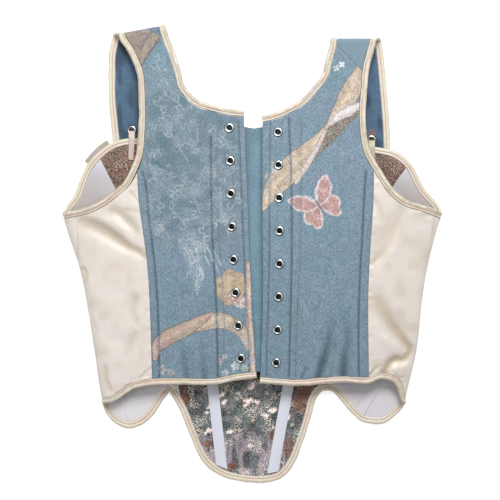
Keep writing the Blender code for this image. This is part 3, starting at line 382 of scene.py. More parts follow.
# Woven ribbons and leaves: centre line, half widths along it, two colours, edge strength
MOTIF_BANDS = {
    "left": (
        (((-4.5, -10), (-4.2, -30), (-4.2, -60), (-2.5, -85), (-1, -105), (0.5, -128)),
         (2.5, 3.2, 3.0, 3.6, 3.0, 3.2), PALE_GOLD, OLD_PINK, 0.3),
        (((-30, -71), (-18, -75.5), (-9, -86), (-4, -98)), (8, 7, 6, 3.5), GOLD, LILAC, 0.4),
        (((-64, -81), (-50, -74.5), (-38, -69.5), (-27, -71)), (1.5, 5.5, 8.6, 8.0),
         PALE_GOLD, GOLD, 0.8),
        (((-103, -110), (-100, -97), (-89, -87.5), (-71, -79), (-54, -69), (-42, -61.5)),
         (2.5, 7.5, 8.0, 7.5, 5.5, 1.0), GOLD, OLD_PINK, 1.0),
    ),
    "right": (
        (((12, 49), (20, 66), (36, 86), (53, 103), (68, 119), (78, 133)),
         (3, 10, 13, 11.5, 8, 3), GOLD, PALE_GOLD, 0.7),
        (((78, 133), (88, 146), (98, 161), (106, 176), (113, 196)), (2.5, 6.5, 10, 10, 4),
         GOLD, PALE_GOLD, 0.8),
        (((66, 103), (75, 118), (87, 131), (99, 142), (113, 151)), (2, 6, 7, 5, 2.5),
         OLIVE, BROWN, 0.6),
        (((46, 76), (58, 95), (68, 112), (77, 130)), (2.2, 3.0, 2.6, 1.6), LILAC, PALE_GOLD, 0.0),
        (((82, 138), (93, 147), (105, 153), (112, 157)), (2.5, 4.5, 5.5, 3.5), LILAC,
         PALE_LILAC, 0.0),
    ),
}

# Butterfly: middle, tilt to the left, and the outlines of its right wings about its body
BUTTERFLY = (70.5, 51.0)
BUTTERFLY_TILT = 34.0
UPPER_WING = ((0.5, 0.5), (2.5, 9), (8, 17.5), (16, 23), (24.5, 23.5), (24, 16), (22, 9), (15, 2.5),
              (6, -1))
LOWER_WING = ((0.5, 2), (8, 4), (17, 3), (21.5, -3), (21, -9.5), (17, -13), (16.5, -18), (11, -20),
              (5.5, -15), (1.5, -7))

# Scalloped flower by the left centre edge: middle, radius, and its pale fold
FLOWER = (-22.5, -35.0)
FLOWER_RADIUS = 17.5
FLOWER_FOLD = (((-20, -46), (-13, -50), (-7, -58)), (5.5, 6.5, 2.0))

# Small flowers: x, y, radius, petals, colour
SMALL_FLOWERS = {
    "left": ((-96, -122, 5.5, 5, OLD_PINK), (-86, -125, 4.0, 5, OLD_PINK),
             (-34, -112, 4.5, 5, HEATHER), (-29, -108, 3.0, 4, SILVER),
             (-18, -118, 5.0, 5, SILVER), (-29, -125, 4.0, 5, SILVER),
             (-8, -120, 4.5, 6, LIME), (-1, -112, 5.0, 5, ROSE)),
    "right": ((24, 92, 7.5, 6, GREY_PETAL), (17, 82, 5.0, 5, SAND_PETAL),
              (88.5, 197, 3.6, 4, SILVER), (94.5, 201, 3.6, 4, SILVER)),
}

# Silver line drawing of sprays on the left back: stems, then rosettes with their radius
STEMS = (
    ((-58, -2), (-66, 22), (-82, 44), (-102, 58)),
    ((-50, 0), (-52, 30), (-62, 60), (-80, 84), (-98, 90)),
    ((-42, 18), (-33, 50), (-36, 80), (-50, 104), (-74, 120)),
    ((-28, 58), (-21, 86), (-24, 112), (-40, 132)),
    ((-68, 98), (-84, 124), (-96, 150), (-98, 178)),
    ((-58, 118), (-60, 138), (-74, 156), (-90, 168)),
    ((-88, 18), (-98, 36), (-107, 52)),
    ((-24, 8), (-26, 36), (-17, 58)),
    ((-90, 68), (-104, 82), (-109, 106)),
    ((-88, 176), (-96, 192), (-104, 206)),
)
HANGING = (
    ((-78, 16), (-70, 4), (-65, -8), (-66, -20)), ((-52, 14), (-45, 2), (-40, -10), (-35, -20)),
    ((-70, 12), (-62, -4), (-55, -18), (-59, -30), (-58, -43)),
    ((-62, -8), (-67, -16), (-69, -24)), ((-58, -12), (-53, -24), (-57, -36)),
    ((-64, 4), (-58, -8), (-52, -22), (-55, -30)), ((-47, 10), (-50, 0), (-46, -10)),
    ((-41, 4), (-36, -6), (-33, -12)),
)
ROSETTES = ((-82, 66, 9), (-47, 86, 8), (-66, 42, 7), (-92, 134, 7), (-34, 118, 6), (-98, 24, 6),
            (-30, 38, 6), (-74, 148, 6), (-58, 66, 5), (-102, 106, 6), (-56, 8, 6), (-38, 60, 5))
TEAL_PATCHES = ((-95, 120, 8), (-86, 109, 9), (-101, 95, 8), (-90, 56, 9), (-82, 47, 8),
                (-35, 139, 9), (-76, 161, 9), (-44, 100, 7), (-60, 100, 8), (-100, 150, 7))
LEAF_STEP, LEAF_TURN = 8.5, 0.75   # along a stem, and its heading against the stem

# Floor, lights and camera, in metres and watts
FLOOR_REACH, FLOOR_Z = 4.0, -0.0005
KEY_LIGHT = ("key light", (0.2, 1.12, 1.4), 0.8, 37)
FILL_LIGHT = ("fill light", (-0.9, -0.3, 1.6), 1.2, 9)
CAMERA_PLACE = (-0.0025, 0.0058, 2.22)

UP = (0.0, 0.0, 1.0)


# Curves, surfaces and noise


def unit(vectors):
    """Vectors scaled to length 1."""
    return vectors / np.linalg.norm(vectors, axis=-1, keepdims=True)


def running(points):
    """Length of a line of points up to each of them."""
    return np.concatenate([[0], np.cumsum(np.linalg.norm(np.diff(points, axis=0), axis=1))])


def evenly(count):
    """Shares from 0 to 1 in a count of even steps."""
    return np.linspace(0, 1, count + 1)


def path_length(points):
    """Length of a line of points."""
    return float(np.linalg.norm(np.diff(points, axis=0), axis=1).sum())


def ease(t):
    """Smooth step from 0 to 1."""
    t = np.clip(t, 0.0, 1.0)
    return t * t * (3 - 2 * t)


def bell(away, width):
    """1 where there is no distance, falling to 0 past the width."""
    return np.exp(-(away / width) ** 2)


def between(pair, share):
    """Value part of the way from the first to the second of two."""
    return pair[0] + (pair[1] - pair[0]) * share


def smooth(points, steps=STEPS):
    """Dense points on a smooth curve through the given ones."""
    p = np.asarray(points, float)
    p = np.vstack([2 * p[0] - p[1], p, 2 * p[-1] - p[-2]])
    dense = []
    for i in range(1, len(p) - 2):
        k = [0.0]
        for j in range(3):
            k.append(k[-1] + max(np.linalg.norm(p[i + j] - p[i + j - 1]), 1e-9) ** 0.5)
        for t in np.linspace(k[1], k[2], steps, endpoint=False):
            a = [((k[j + 1] - t) * p[i + j - 1] + (t - k[j]) * p[i + j]) / (k[j + 1] - k[j])
                 for j in range(3)]
            b = [((k[j + 2] - t) * a[j] + (t - k[j]) * a[j + 1]) / (k[j + 2] - k[j])
                 for j in range(2)]
            dense.append(((k[2] - t) * b[0] + (t - k[1]) * b[1]) / (k[2] - k[1]))
    dense.append(p[-2])
    return np.array(dense)


def along(dense, fractions):
    """Points at the given shares of a dense curve's length."""
    run = running(dense)
    return np.stack([np.interp(np.asarray(fractions) * run[-1], run, dense[:, k])
                     for k in range(dense.shape[1])], axis=1)


def rail(table, side, y):
    """x at height y on a table of y, left x, right x."""
    column = 1 + SIDES.index(side)
    dense = smooth([(row[0], row[column]) for row in table])
    order = np.argsort(dense[:, 0])
    return np.interp(y, dense[order, 0], dense[order, 1])


CROWN_CURVE = smooth(CROWN)
FOLD_LEFT = smooth([(row[0], row[1]) for row in FOLD])[::-1]
FOLD_RIGHT = smooth([(row[0], row[2]) for row in FOLD])[::-1]


def half_width(x, y):
    """Distance from the middle to the side fold on the side of x."""
    left = np.abs(np.interp(y, FOLD_LEFT[:, 0], FOLD_LEFT[:, 1]))
    right = np.abs(np.interp(y, FOLD_RIGHT[:, 0], FOLD_RIGHT[:, 1]))
    return np.where(x < 0, left, right)


def folds(x, y):
    """Height that the largest folds add at a point."""
    total = 0.0
    for x0, y0, x1, y1, width, height in FOLDS:
        dx, dy = x1 - x0, y1 - y0
        length = math.hypot(dx, dy)
        t = ((x - x0) * dx + (y - y0) * dy) / length ** 2
        reach = np.maximum(0.0, np.maximum(-t, t - 1)) * length
        off = np.abs((x - x0) * dy - (y - y0) * dx) / length
        swell = 0.35 + 0.65 * np.sin(math.pi * np.clip(t, 0.0, 1.0))
        total = total + height * swell * np.exp(-(off ** 2 + reach ** 2) / width ** 2)
    return total


def near_z(x, y):
    """Top of the upper layer."""
    share = np.minimum(np.abs(x) / half_width(x, y), 1.0)
    crown = np.interp(y, CROWN_CURVE[:, 0], CROWN_CURVE[:, 1])
    lens = np.maximum(1 - share ** ROUND, 0.0) ** (1 / ROUND)
    return FOLD_Z + (crown - FOLD_Z) * lens + folds(x, y) * np.minimum(1.0, (1 - share) * 12)


def lift(x, y):
    """Height of the lower layer's underside over the strap ends."""
    total = 0.0
    for side in SIDES:
        end = STRAP_FAR[side][-1]
        middle = (end[0] + end[2]) / 2
        across = ease((LIFT_HALF - np.abs(x - middle)) / LIFT_EDGE)
        up = ease((y - end[1] + LIFT_BELOW) / LIFT_SLOPE)
        total = total + STRAP_LIFT * across * up
    return total


def far_z(x, y):
    """Underside of the lower layer."""
    inset = np.where(y < FOLD[0][0], np.maximum(half_width(x, y) - np.abs(x), 0.0), UNDER_TURN)
    t = np.minimum(inset / UNDER_TURN, 1.0)
    turn = (1 - (1 - t) ** UNDER_ROUND) ** (1 / UNDER_ROUND)
    return FOLD_Z * (1 - turn) + lift(x, y)


def slope_normal(surface, x, y, up):
    """Unit normals of a height function, up or down."""
    h = 0.5
    n = np.stack([-(surface(x + h, y) - surface(x - h, y)) / (2 * h),
                  -(surface(x, y + h) - surface(x, y - h)) / (2 * h),
                  np.ones_like(x)], axis=-1)
    return unit(n) if up else -unit(n)


def coons(bottom, top, first, last, shares=None):
    """Plan points between four edges, with the columns at the given shares of the width."""
    u = (np.linspace(0, 1, len(bottom)) if shares is None else np.asarray(shares))[None, :, None]
    v = np.linspace(0, 1, len(first))[:, None, None]
    bottom, top = np.asarray(bottom)[None], np.asarray(top)[None]
    first, last = np.asarray(first)[:, None], np.asarray(last)[:, None]
    return ((1 - v) * bottom + v * top + (1 - u) * first + u * last
            - (1 - u) * (1 - v) * bottom[:, :1] - u * (1 - v) * bottom[:, -1:]
            - (1 - u) * v * top[:, :1] - u * v * top[:, -1:])


def spread(points, rows, count):
    """Points over one stretch of a table, given by its first and last row."""
    stretch = smooth(points)[rows[0] * STEPS:rows[1] * STEPS + 1]
    return along(stretch, evenly(count))


def grid_normals(points):
    """Normals of a grid of points, from its own rows and columns."""
    n = np.cross(np.gradient(points, axis=1), np.gradient(points, axis=0))
    return n / np.maximum(np.linalg.norm(n, axis=2, keepdims=True), 1e-9)


def noise(x, y, size, seed):
    """Smooth random values from -1 to 1, in blobs of a given size."""
    n = NOISE_CELLS
    table = np.random.default_rng(seed).uniform(-1, 1, (n, n))
    u, v = x / size + NOISE_OFFSET, y / size + NOISE_OFFSET
    i, j = np.floor(u).astype(int), np.floor(v).astype(int)
    fu, fv = ease(u - i), ease(v - j)
    low = table[i % n, j % n] * (1 - fu) + table[(i + 1) % n, j % n] * fu
    high = table[i % n, (j + 1) % n] * (1 - fu) + table[(i + 1) % n, (j + 1) % n] * fu
    return low * (1 - fv) + high * fv


def waved(waves, x, y):
    """Height that slight waves of the cloth add."""
    return sum(height * noise(x, y, size, seed) for height, size, seed in waves)


def to_line(points, x, y, reach):
    """Distance from a smooth line through the points, share along it, and side of it."""
    line = smooth(points, 8) if len(points) > 2 else np.asarray(points, float)
    run = running(line)
    away, share, side = np.full(x.shape, FAR_AWAY), np.zeros(x.shape), np.zeros(x.shape)
    low, high = line.min(axis=0) - reach, line.max(axis=0) + reach
    near = (x > low[0]) & (x < high[0]) & (y > low[1]) & (y < high[1])
    px, py = x[near], y[near]
    best, where, which = np.full(px.shape, FAR_AWAY), np.zeros(px.shape), np.zeros(px.shape)
    for k in range(len(line) - 1):
        dx, dy = line[k + 1] - line[k]
        length = max(math.hypot(dx, dy), 1e-6)
        t = np.clip(((px - line[k, 0]) * dx + (py - line[k, 1]) * dy) / length ** 2, 0, 1)
        ox, oy = px - line[k, 0] - t * dx, py - line[k, 1] - t * dy
        d = np.hypot(ox, oy)
        closer = d < best
        best = np.where(closer, d, best)
        where = np.where(closer, (run[k] + t * length) / run[-1], where)
        which = np.where(closer, np.sign(ox * dy - oy * dx), which)
    away[near], share[near], side[near] = best, where, which
    return away, share, side


def distance(points, x, y, reach):
    """Distance from a smooth line, out to a reach."""
    return to_line(points, x, y, reach)[0]


def creased(lines, x, y):
    """Height that soft troughs and ridges add."""
    total = np.zeros(x.shape)
    for points, widths, heights in lines:
        d, t, side = to_line(points, x, y, 3 * max(widths))
        total += between(heights, t) * bell(d, between(widths, t) * (1 + 0.3 * side))
    return total


def quilted(side, x, y):
    """Height that the stitched lines and the boning channels add."""
    total = np.zeros(x.shape)
    for points, depth in STITCHED[side]:
        total -= depth * bell(distance(points, x, y, 6), STITCHED_WIDTH)
    for points, half in BONES[side]:
        total += BONE_RISE * ease((half + BONE_EDGE - distance(points, x, y, half + 5)) / 2.2)
    return total


# Meshes


def place(name, data):
    """A new object in the scene."""
    obj = bpy.data.objects.new(name, data)
    bpy.context.scene.collection.objects.link(obj)
    return obj


def body(name, verts, faces, materials, tint, kind=None, silver=None, takes=None):
    """A piece's own mesh, which rides with the garment and stands in for its solid.

    The solid has the piece's name without its last word, unless takes names others.
    """
    mesh = bpy.data.meshes.new(name)
    moved = (np.asarray(verts) - (ORIGIN[0], ORIGIN[1], 0.0)) * MM
    mesh.from_pydata(moved.tolist(), [], [list(f) for f in faces])
    for mat in materials:
        mesh.materials.append(mat)
    if kind is not None:
        mesh.polygons.foreach_set("material_index", kind)
    mesh.shade_smooth()
    mesh.set_sharp_from_angle(angle=math.radians(SHARP))
    layer = mesh.color_attributes.new("tint", "FLOAT_COLOR", "POINT")
    layer.data.foreach_set("color", np.hstack([tint, np.ones((len(tint), 1))]).ravel())
    if silver is not None:
        layer = mesh.attributes.new("silver", "FLOAT", "POINT")
        layer.data.foreach_set("value", silver)
    obj = place(name, mesh)
    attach(obj, "root")
    if takes is None:
        takes = (name.rsplit("_", 1)[0],)
    if takes:
        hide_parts(*takes)
    return obj


def shell(name, points, normals, thick, materials, outer_tint, inner_tint, silver=None,
          takes=None):
    """Cloth wall from a grid of outer points; cells without points are left out."""
    there = ~np.isnan(points[..., 0])
    index = np.full(there.shape, -1)
    index[there] = np.arange(there.sum())
    corners = [index[:-1, :-1], index[:-1, 1:], index[1:, 1:], index[1:, :-1]]
    full = np.all([c >= 0 for c in corners], axis=0)
    quads = np.stack([c[full] for c in corners], axis=1)
    outer, normal = points[there], normals[there]
    a, b, d = (outer[quads[:, k]] for k in (0, 1, 3))
    if (np.cross(b - a, d - a) * normal[quads[:, 0]]).sum() < 0:
        quads = quads[:, ::-1]
    n = len(outer)
    edges = np.concatenate([quads[:, [k, (k + 1) % 4]] for k in range(4)])
    rim = edges[~np.isin(edges[:, 0] * n + edges[:, 1], edges[:, 1] * n + edges[:, 0])]
    walls = np.stack([rim[:, 1], rim[:, 0], rim[:, 0] + n, rim[:, 1] + n], axis=1)
    faces = np.concatenate([quads, quads[:, ::-1] + n, walls])
    kind = np.zeros(len(faces), int)
    if len(materials) > 1:
        kind[len(quads):] = 1
    depth = thick[there] if isinstance(thick, np.ndarray) else thick
    verts = np.concatenate([outer, outer - normal * depth])
    tint = np.concatenate([outer_tint[there], inner_tint[there]])
    used = np.unique(faces)
    moved = np.full(len(verts), -1)
    moved[used] = np.arange(len(used))
    if silver is not None:
        silver = np.concatenate([silver[there], silver[there]])[used]
    return body(name, verts[used], moved[faces], materials, tint[used], kind, silver, takes)


def sewn(line, up, height=STITCH_HEIGHT):
    """Corners and faces of small raised stitches along a line of points."""
    count = max(int(path_length(line) / STITCH), 2)
    both = along(np.hstack([line, up * 1e-3]), (np.arange(count) + 0.5) / count)
    spot, up = both[:, :3], both[:, 3:] * 1e3
    ahead = unit(np.gradient(spot, axis=0))
    aside = np.cross(up, ahead)
    corners = np.stack([spot - ahead * STITCH_LENGTH / 2, spot - aside * STITCH_WIDTH / 2,
                        spot + ahead * STITCH_LENGTH / 2, spot + aside * STITCH_WIDTH / 2,
                        spot + up * height], axis=1).reshape(-1, 3)
    one = ([0, 1, 4], [1, 2, 4], [2, 3, 4], [3, 0, 4], [0, 3, 2, 1])
    return corners, [[5 * k + c for c in face] for k in range(count) for face in one]


def swept(name, path, up, out, profile, materials, tint, stitching=None, thread=None):
    """Solid swept along a path, with one section of (a, b) points or one for each station."""
    profile = np.broadcast_to(profile, (len(path), *np.shape(profile)[-2:]))
    up = np.broadcast_to(up, path.shape)
    n = profile.shape[1]
    verts = (path[:, None] + out[:, None] * profile[..., :1] + up[:, None] * profile[..., 1:2])
    verts[..., 2] = np.maximum(verts[..., 2], 0.0)
    verts = verts.reshape(-1, 3)
    i, k = np.meshgrid(np.arange(len(path) - 1), np.arange(n), indexing="ij")
    a, b = (i * n + k).ravel(), (i * n + (k + 1) % n).ravel()
    faces = np.stack([a, b, b + n, a + n], axis=1)
    p, q, r = verts[faces[:, 0]], verts[faces[:, 1]], verts[faces[:, 3]]
    middle = np.repeat(verts.reshape(len(path), n, 3).mean(axis=1)[:-1], n, axis=0)
    if (np.cross(q - p, r - p) * (p - middle)).sum() < 0:
        faces = faces[:, ::-1]
    faces = [list(f) for f in faces]
    faces.append(list(range(n)))
    faces.append([len(verts) - 1 - k for k in range(n)])
    tint = tint.reshape(-1, 3)
    if stitching is not None:
        corners, extra = stitching
        faces += [[c + len(verts) for c in face] for face in extra]
        verts = np.concatenate([verts, corners])
        tint = np.concatenate([tint, np.tile(thread, (len(corners), 1))])
    return body(name, verts, faces, materials, tint)


# Materials


def new_material(name):
    """A material with its node tree and its shader."""
    mat = bpy.data.materials.new(name)
    mat.use_nodes = True
    return mat, mat.node_tree, mat.node_tree.nodes["Principled BSDF"]


def add(tree, kind, feeds=None, **settings):
    """A new node, with its sockets and properties set by name and its feeds linked."""
    node = tree.nodes.new(kind)
    for key, value in settings.items():
        if key in node.inputs:
            node.inputs[key].default_value = value
        else:
            setattr(node, key, value)
    for key, output in (feeds or {}).items():
        tree.links.new(output, node.inputs[key])
    return node


def settle(node, values):
    """Set sockets of a node by their names."""
    for key, value in values.items():
        node.inputs[key].default_value = value


def finish(tree, shader, colour, height, strength, depth):
    """Give the shader its colour, and a bump from a height."""
    bumps = add(tree, "ShaderNodeBump", {"Height": height}, Strength=strength, Distance=depth * MM)
    tree.links.new(colour, shader.inputs["Base Color"])
    tree.links.new(bumps.outputs["Normal"], shader.inputs["Normal"])


def cloth(name, roughness, sheen, grain, size, stretch, bump, depth=0.2, aniso=0.0,
          threads=None, rib=0.0):
    """Cloth whose colour is its tint broken up by a grain, with a bump of grain and ribs."""
    mat, tree, shader = new_material(name)
    tint = add(tree, "ShaderNodeAttribute", attribute_name="tint").outputs["Color"]
    spot = add(tree, "ShaderNodeTexCoord").outputs["Object"]
    scaled = add(tree, "ShaderNodeMapping", {"Vector": spot},
                 Scale=(1000 / size, 1000 / (size * stretch), 1000 / size))
    fleck = add(tree, "ShaderNodeTexNoise", {"Vector": scaled.outputs["Vector"]},
                Scale=1.0, Detail=3.0, Roughness=0.65).outputs["Fac"]
    span = add(tree, "ShaderNodeMapRange", {"Value": fleck})
    settle(span, {"From Min": 0.3, "From Max": 0.7, "To Min": 1 - grain, "To Max": 1 + grain})
    mixed = add(tree, "ShaderNodeMix", {6: tint, 7: span.outputs["Result"]},
                data_type="RGBA", blend_type="MULTIPLY")
    mixed.inputs[0].default_value = 1.0
    colour = mixed.outputs[2]
    if threads is not None:
        colour = bright_threads(tree, colour, spot, *threads)
    height = fleck
    if rib:
        waves = add(tree, "ShaderNodeTexWave", {"Vector": spot}, bands_direction="X",
                    Scale=1 / (RIB * MM * math.pi * 2), Distortion=1.5)
        both = add(tree, "ShaderNodeMath", {0: waves.outputs["Fac"], 2: fleck},
                   operation="MULTIPLY_ADD")
        both.inputs[1].default_value = rib
        height = both.outputs[0]
    finish(tree, shader, colour, height, bump, depth)
    settle(shader, {"Roughness": roughness, "Sheen Weight": sheen, "Sheen Roughness": 0.5,
                    "Anisotropic": aniso})
    return mat


def bright_threads(tree, under, spot, colour, size):
    """Flecks of bright thread over a colour, as many as the mesh's silver value says."""
    amount = add(tree, "ShaderNodeAttribute", attribute_name="silver")
    fleck = add(tree, "ShaderNodeTexNoise", {"Vector": spot}, Scale=1000 / size, Detail=3.0,
                Roughness=0.7)
    lowest = add(tree, "ShaderNodeMapRange", {"Value": fleck.outputs["Fac"]})
    settle(lowest, {"From Min": 0.50, "From Max": 0.58})
    share = add(tree, "ShaderNodeMath", {0: lowest.outputs["Result"], 1: amount.outputs["Fac"]},
                operation="MULTIPLY")
    mixed = add(tree, "ShaderNodeMix", {0: share.outputs[0], 6: under}, data_type="RGBA")
    mixed.inputs[7].default_value = (*colour, 1.0)
    return mixed.outputs[2]


def nickel():
    """Bright plated metal, with painted shade, highlight and reflection in its tint."""
    mat, tree, shader = new_material("nickel plate")
    tint = add(tree, "ShaderNodeAttribute", attribute_name="tint").outputs["Color"]
    spot = add(tree, "ShaderNodeTexCoord").outputs["Object"]
    fleck = add(tree, "ShaderNodeTexNoise", {"Vector": spot}, Scale=900.0, Detail=2.0)
    finish(tree, shader, tint, fleck.outputs["Fac"], 0.15, 0.05)
    settle(shader, {"Metallic": 1.0, "Roughness": 0.28})
    return mat


JACQUARD = cloth("blue jacquard", 0.7, 0.15, 0.42, 1.3, 1.7, 0.7, threads=(SILVER, 1.1), rib=0.5)
PLAIN = cloth("plain blue cotton", 0.75, 0.1, 0.22, 1.3, 1.5, 0.5, rib=0.4)
SATIN = cloth("cream satin", 0.40, 0.1, 0.05, 2.2, 1.0, 0.3, 0.3, 0.35)
BIAS = cloth("cream bias binding", 0.42, 0.1, 0.12, 1.6, 1.0, 0.6, 0.3, 0.3)
LINING = cloth("white lining", 0.8, 0.1, 0.05, 0.8, 1.0, 0.4, rib=0.3)
TAPESTRY = cloth("tapestry reverse", 0.8, 0.1, 0.85, 1.4, 1.0, 0.8, threads=(FLECK_PALE, 1.25),
                 rib=0.5)
TAPE = cloth("white tape", 0.75, 0.1, 0.06, 0.7, 3.0, 0.6, rib=0.4)
BEIGE_CLOTH = cloth("beige jacquard", 0.75, 0.1, 0.28, 1.4, 1.6, 0.6, rib=0.5)
THREAD = cloth("sewing thread", 0.6, 0.2, 0.2, 0.5, 1.0, 0.4)
NICKEL = nickel()


def even(shape, colour):
    """One colour at every point."""
    return np.broadcast_to(np.asarray(colour, float), (*shape, 3)).copy()


def paint(under, colour, share):
    """A colour laid over another one by a share of 0 to 1."""
    return under * (1 - share[..., None]) + np.asarray(colour) * share[..., None]


def layered(under, *layers):
    """Colours laid over another one in turn, each by its share."""
    for colour, share in layers:
        under = paint(under, colour, share)
    return under


def cover(outside, soft=0.45):
    """1 inside a shape and 0 outside it, from the distance outside its edge."""
    return ease(0.5 - outside / (2 * soft))


def mottled(x, y, one, other, size, seed):
    """Two colours in blobs of a given size."""
    share = ease(0.5 + 0.7 * noise(x, y * 0.8, size, seed) + 0.6 * noise(x, y, size / 3, seed + 1))
    return paint(np.asarray(one) * np.ones((*x.shape, 3)), other, share)


def outside_of(points, x, y, reach=6):
    """Distance outside a closed outline, negative inside it."""
    line = smooth([*points, points[0]], 8)
    d = distance(line[::2], x, y, reach)
    inside = np.zeros(x.shape, bool)
    for (ax, ay), (bx, by) in zip(line[:-1], line[1:]):
        if ay != by:
            crosses = ((ay > y) != (by > y)) & (x < (bx - ax) * (y - ay) / (by - ay) + ax)
            inside ^= crosses
    return np.where(inside, -d, d)


def leaf(root, heading, length, width):
    """Outline of one leaf and its midrib, as points."""
    along_leaf = np.array((math.cos(heading), math.sin(heading))) * length
    across = np.array((-math.sin(heading), math.cos(heading))) * width
    root = np.asarray(root, float)
    return [[root, root + along_leaf * 0.45 + across, root + along_leaf],
            [root, root + along_leaf * 0.45 - across, root + along_leaf]]


def spray_lines():
    """Every line of the silver drawing."""
    lines = [np.array(stem, float) for stem in STEMS + HANGING]
    for k, stem in enumerate(STEMS):
        dense = smooth(stem, 10)
        count = int(path_length(dense) / LEAF_STEP)
        spots = along(dense, (np.arange(count) + 0.6) / count)
        for i in range(1, count):
            heading = math.atan2(*(spots[i] - spots[i - 1])[::-1])
            turn = LEAF_TURN if (i + k) % 2 else -LEAF_TURN
            lines += leaf(spots[i], heading + turn, 9.5 - 0.5 * (i % 3), 2.3)
        lines += leaf(dense[-1], math.atan2(*(dense[-1] - dense[-2])[::-1]), 8, 2.2)
    for cx, cy, radius in ROSETTES:
        for i in range(5):
            lines += leaf((cx, cy), i * math.tau / 5 + cx, radius, radius * 0.36)
    return lines


def stitch_side(side):
    """y and x of the stitched line beside a back's seam, for looking up x at a height."""
    line = smooth(STITCHED[side][2][0])[::-1]
    return line[:, 1], line[:, 0]


def left_weave(colour, x, y):
    """Colour of the left back with its sprays and flower, and how much silver thread shows."""
    field = ease((y + 8) / 40) * ease((x + 120) / 8) * ease((-6 - x) / 14)
    field = field * ease((212 - y) / 50)
    for cx, cy, radius in TEAL_PATCHES:
        patch = bell(np.hypot(x - cx, y - cy), radius)
        colour = paint(colour, PATCH_TEAL, 0.65 * patch)
        field = field * (1 - 0.6 * patch)
    colour = colour * (1 - 0.2 * field)[..., None]
    silver = 0.3 * field * ease(0.5 + 0.9 * noise(x, y, 9, 31))
    drawn = np.zeros(x.shape)
    strength = np.interp(y, (-10, 45), (1.0, 0.42)) * ease(0.75 + 0.8 * noise(x, y, 5, 32))
    for line in spray_lines():
        drawn = np.maximum(drawn, strength * bell(distance(line, x, y, 3), 0.85))
    colour = paint(colour, PALE_BLUE, 0.5 * drawn)
    d, t, which = to_line(((-66, 12), (-60, -12), (-58, -36)), x, y, 16)
    silver = np.maximum(np.maximum(silver, drawn), 0.4 * cover(d - 12 + 9 * t, 3))
    petals = 1 + 0.09 * np.cos(7 * np.arctan2(y - FLOWER[1], x - FLOWER[0]) + 0.4)
    away = np.hypot((x - FLOWER[0]) * 1.08, (y - FLOWER[1]) * 0.94) - FLOWER_RADIUS * petals
    fold, t, which = to_line(FLOWER_FOLD[0], x, y, 12)
    fold -= np.interp(t, (0, 0.5, 1), FLOWER_FOLD[1])
    colour = layered(colour, (mottled(x, y, PALE_GOLD, GOLD, 5, 41), cover(away)),
                     (BROWN, 0.3 * bell(away + 0.2, 0.6)),
                     (mottled(x, y, PALE_LILAC, OLD_PINK, 3, 43), cover(fold) * cover(away - 6)))
    return colour, silver


def woven_tint(x, y, side):
    """Colour of a jacquard back with its woven motifs, and how much silver thread shows."""
    x, y = np.nan_to_num(x), np.nan_to_num(y)
    colour = mottled(x, y, TEAL_BLUE, LILAC_BLUE, 22, 3) * 0.28 + even(x.shape, BLUE) * 0.72
    colour = colour * (1 + 0.07 * noise(x, y / 3, 3, 4) + 0.05 * noise(x, y, 8, 5))[..., None]
    # Painted shade in the creases that sink into the blue cloth
    for points, widths, heights in BLUE_CREASES:
        if min(heights) < 0:
            d, t, which = to_line(points, x, y, 12)
            deep = np.minimum(-between(heights, t), 1.5)
            colour = paint(colour, DEEP_TEAL, 0.58 * deep * bell(d, 1.15 * between(widths, t)))
    silver = np.zeros(x.shape)
    if side == "left":
        colour, silver = left_weave(colour, x, y)
    seam_top = STITCHED[side][2][0][0][1]
    beyond = np.abs(x) - np.abs(np.interp(y, *stitch_side(side)))
    colour = paint(colour, FACING, 0.5 * ease(beyond / 1.5) * ease((seam_top - y) / 6))
    for centre, widths, one, other, edge in MOTIF_BANDS[side]:
        d, t, which = to_line(centre, x, y, 20)
        out = d - np.interp(t, evenly(len(widths) - 1), widths)
        band = mottled(x, y, one, other, 6, 50 + int(abs(centre[0][0])))
        band = band * (1 + 0.16 * np.cos(which * d * 0.55 + 0.6))[..., None]
        rim = (0.35 + 0.5 * edge) * bell(out + 0.1, 0.6)
        colour = layered(colour, (band, cover(out)), (BROWN, rim))
        silver = silver * (1 - cover(out)) + 0.4 * cover(out)
    for k, (cx, cy, radius, petals, shade) in enumerate(SMALL_FLOWERS[side]):
        away = np.hypot(x - cx, y - cy)
        out = away - radius * (0.8 + 0.25 * np.cos(petals * np.arctan2(y - cy, x - cx) + k))
        colour = layered(colour, (mottled(x, y, shade, PALE_BLUE, 2.2, 60 + k), 0.85 * cover(out)),
                         (PLUM, 0.5 * cover(away - radius * 0.25)))
    if side == "right":
        colour = butterfly(colour, x, y)
    # Dark dashes, a stitch long, along the stitched lines, darker the deeper the line: stitches
    # with painted shade in their troughs
    for points, depth in STITCHED[side]:
        d, t, which = to_line(points, x, y, 4)
        dashes = 0.86 + 0.14 * np.cos(t * path_length(smooth(points)) * math.tau / STITCH)
        dark = np.minimum(1.9 * depth, 0.97) * dashes * bell(d, 0.75 + depth)
        colour = paint(colour, DEEP_TEAL, dark)
    return colour, silver


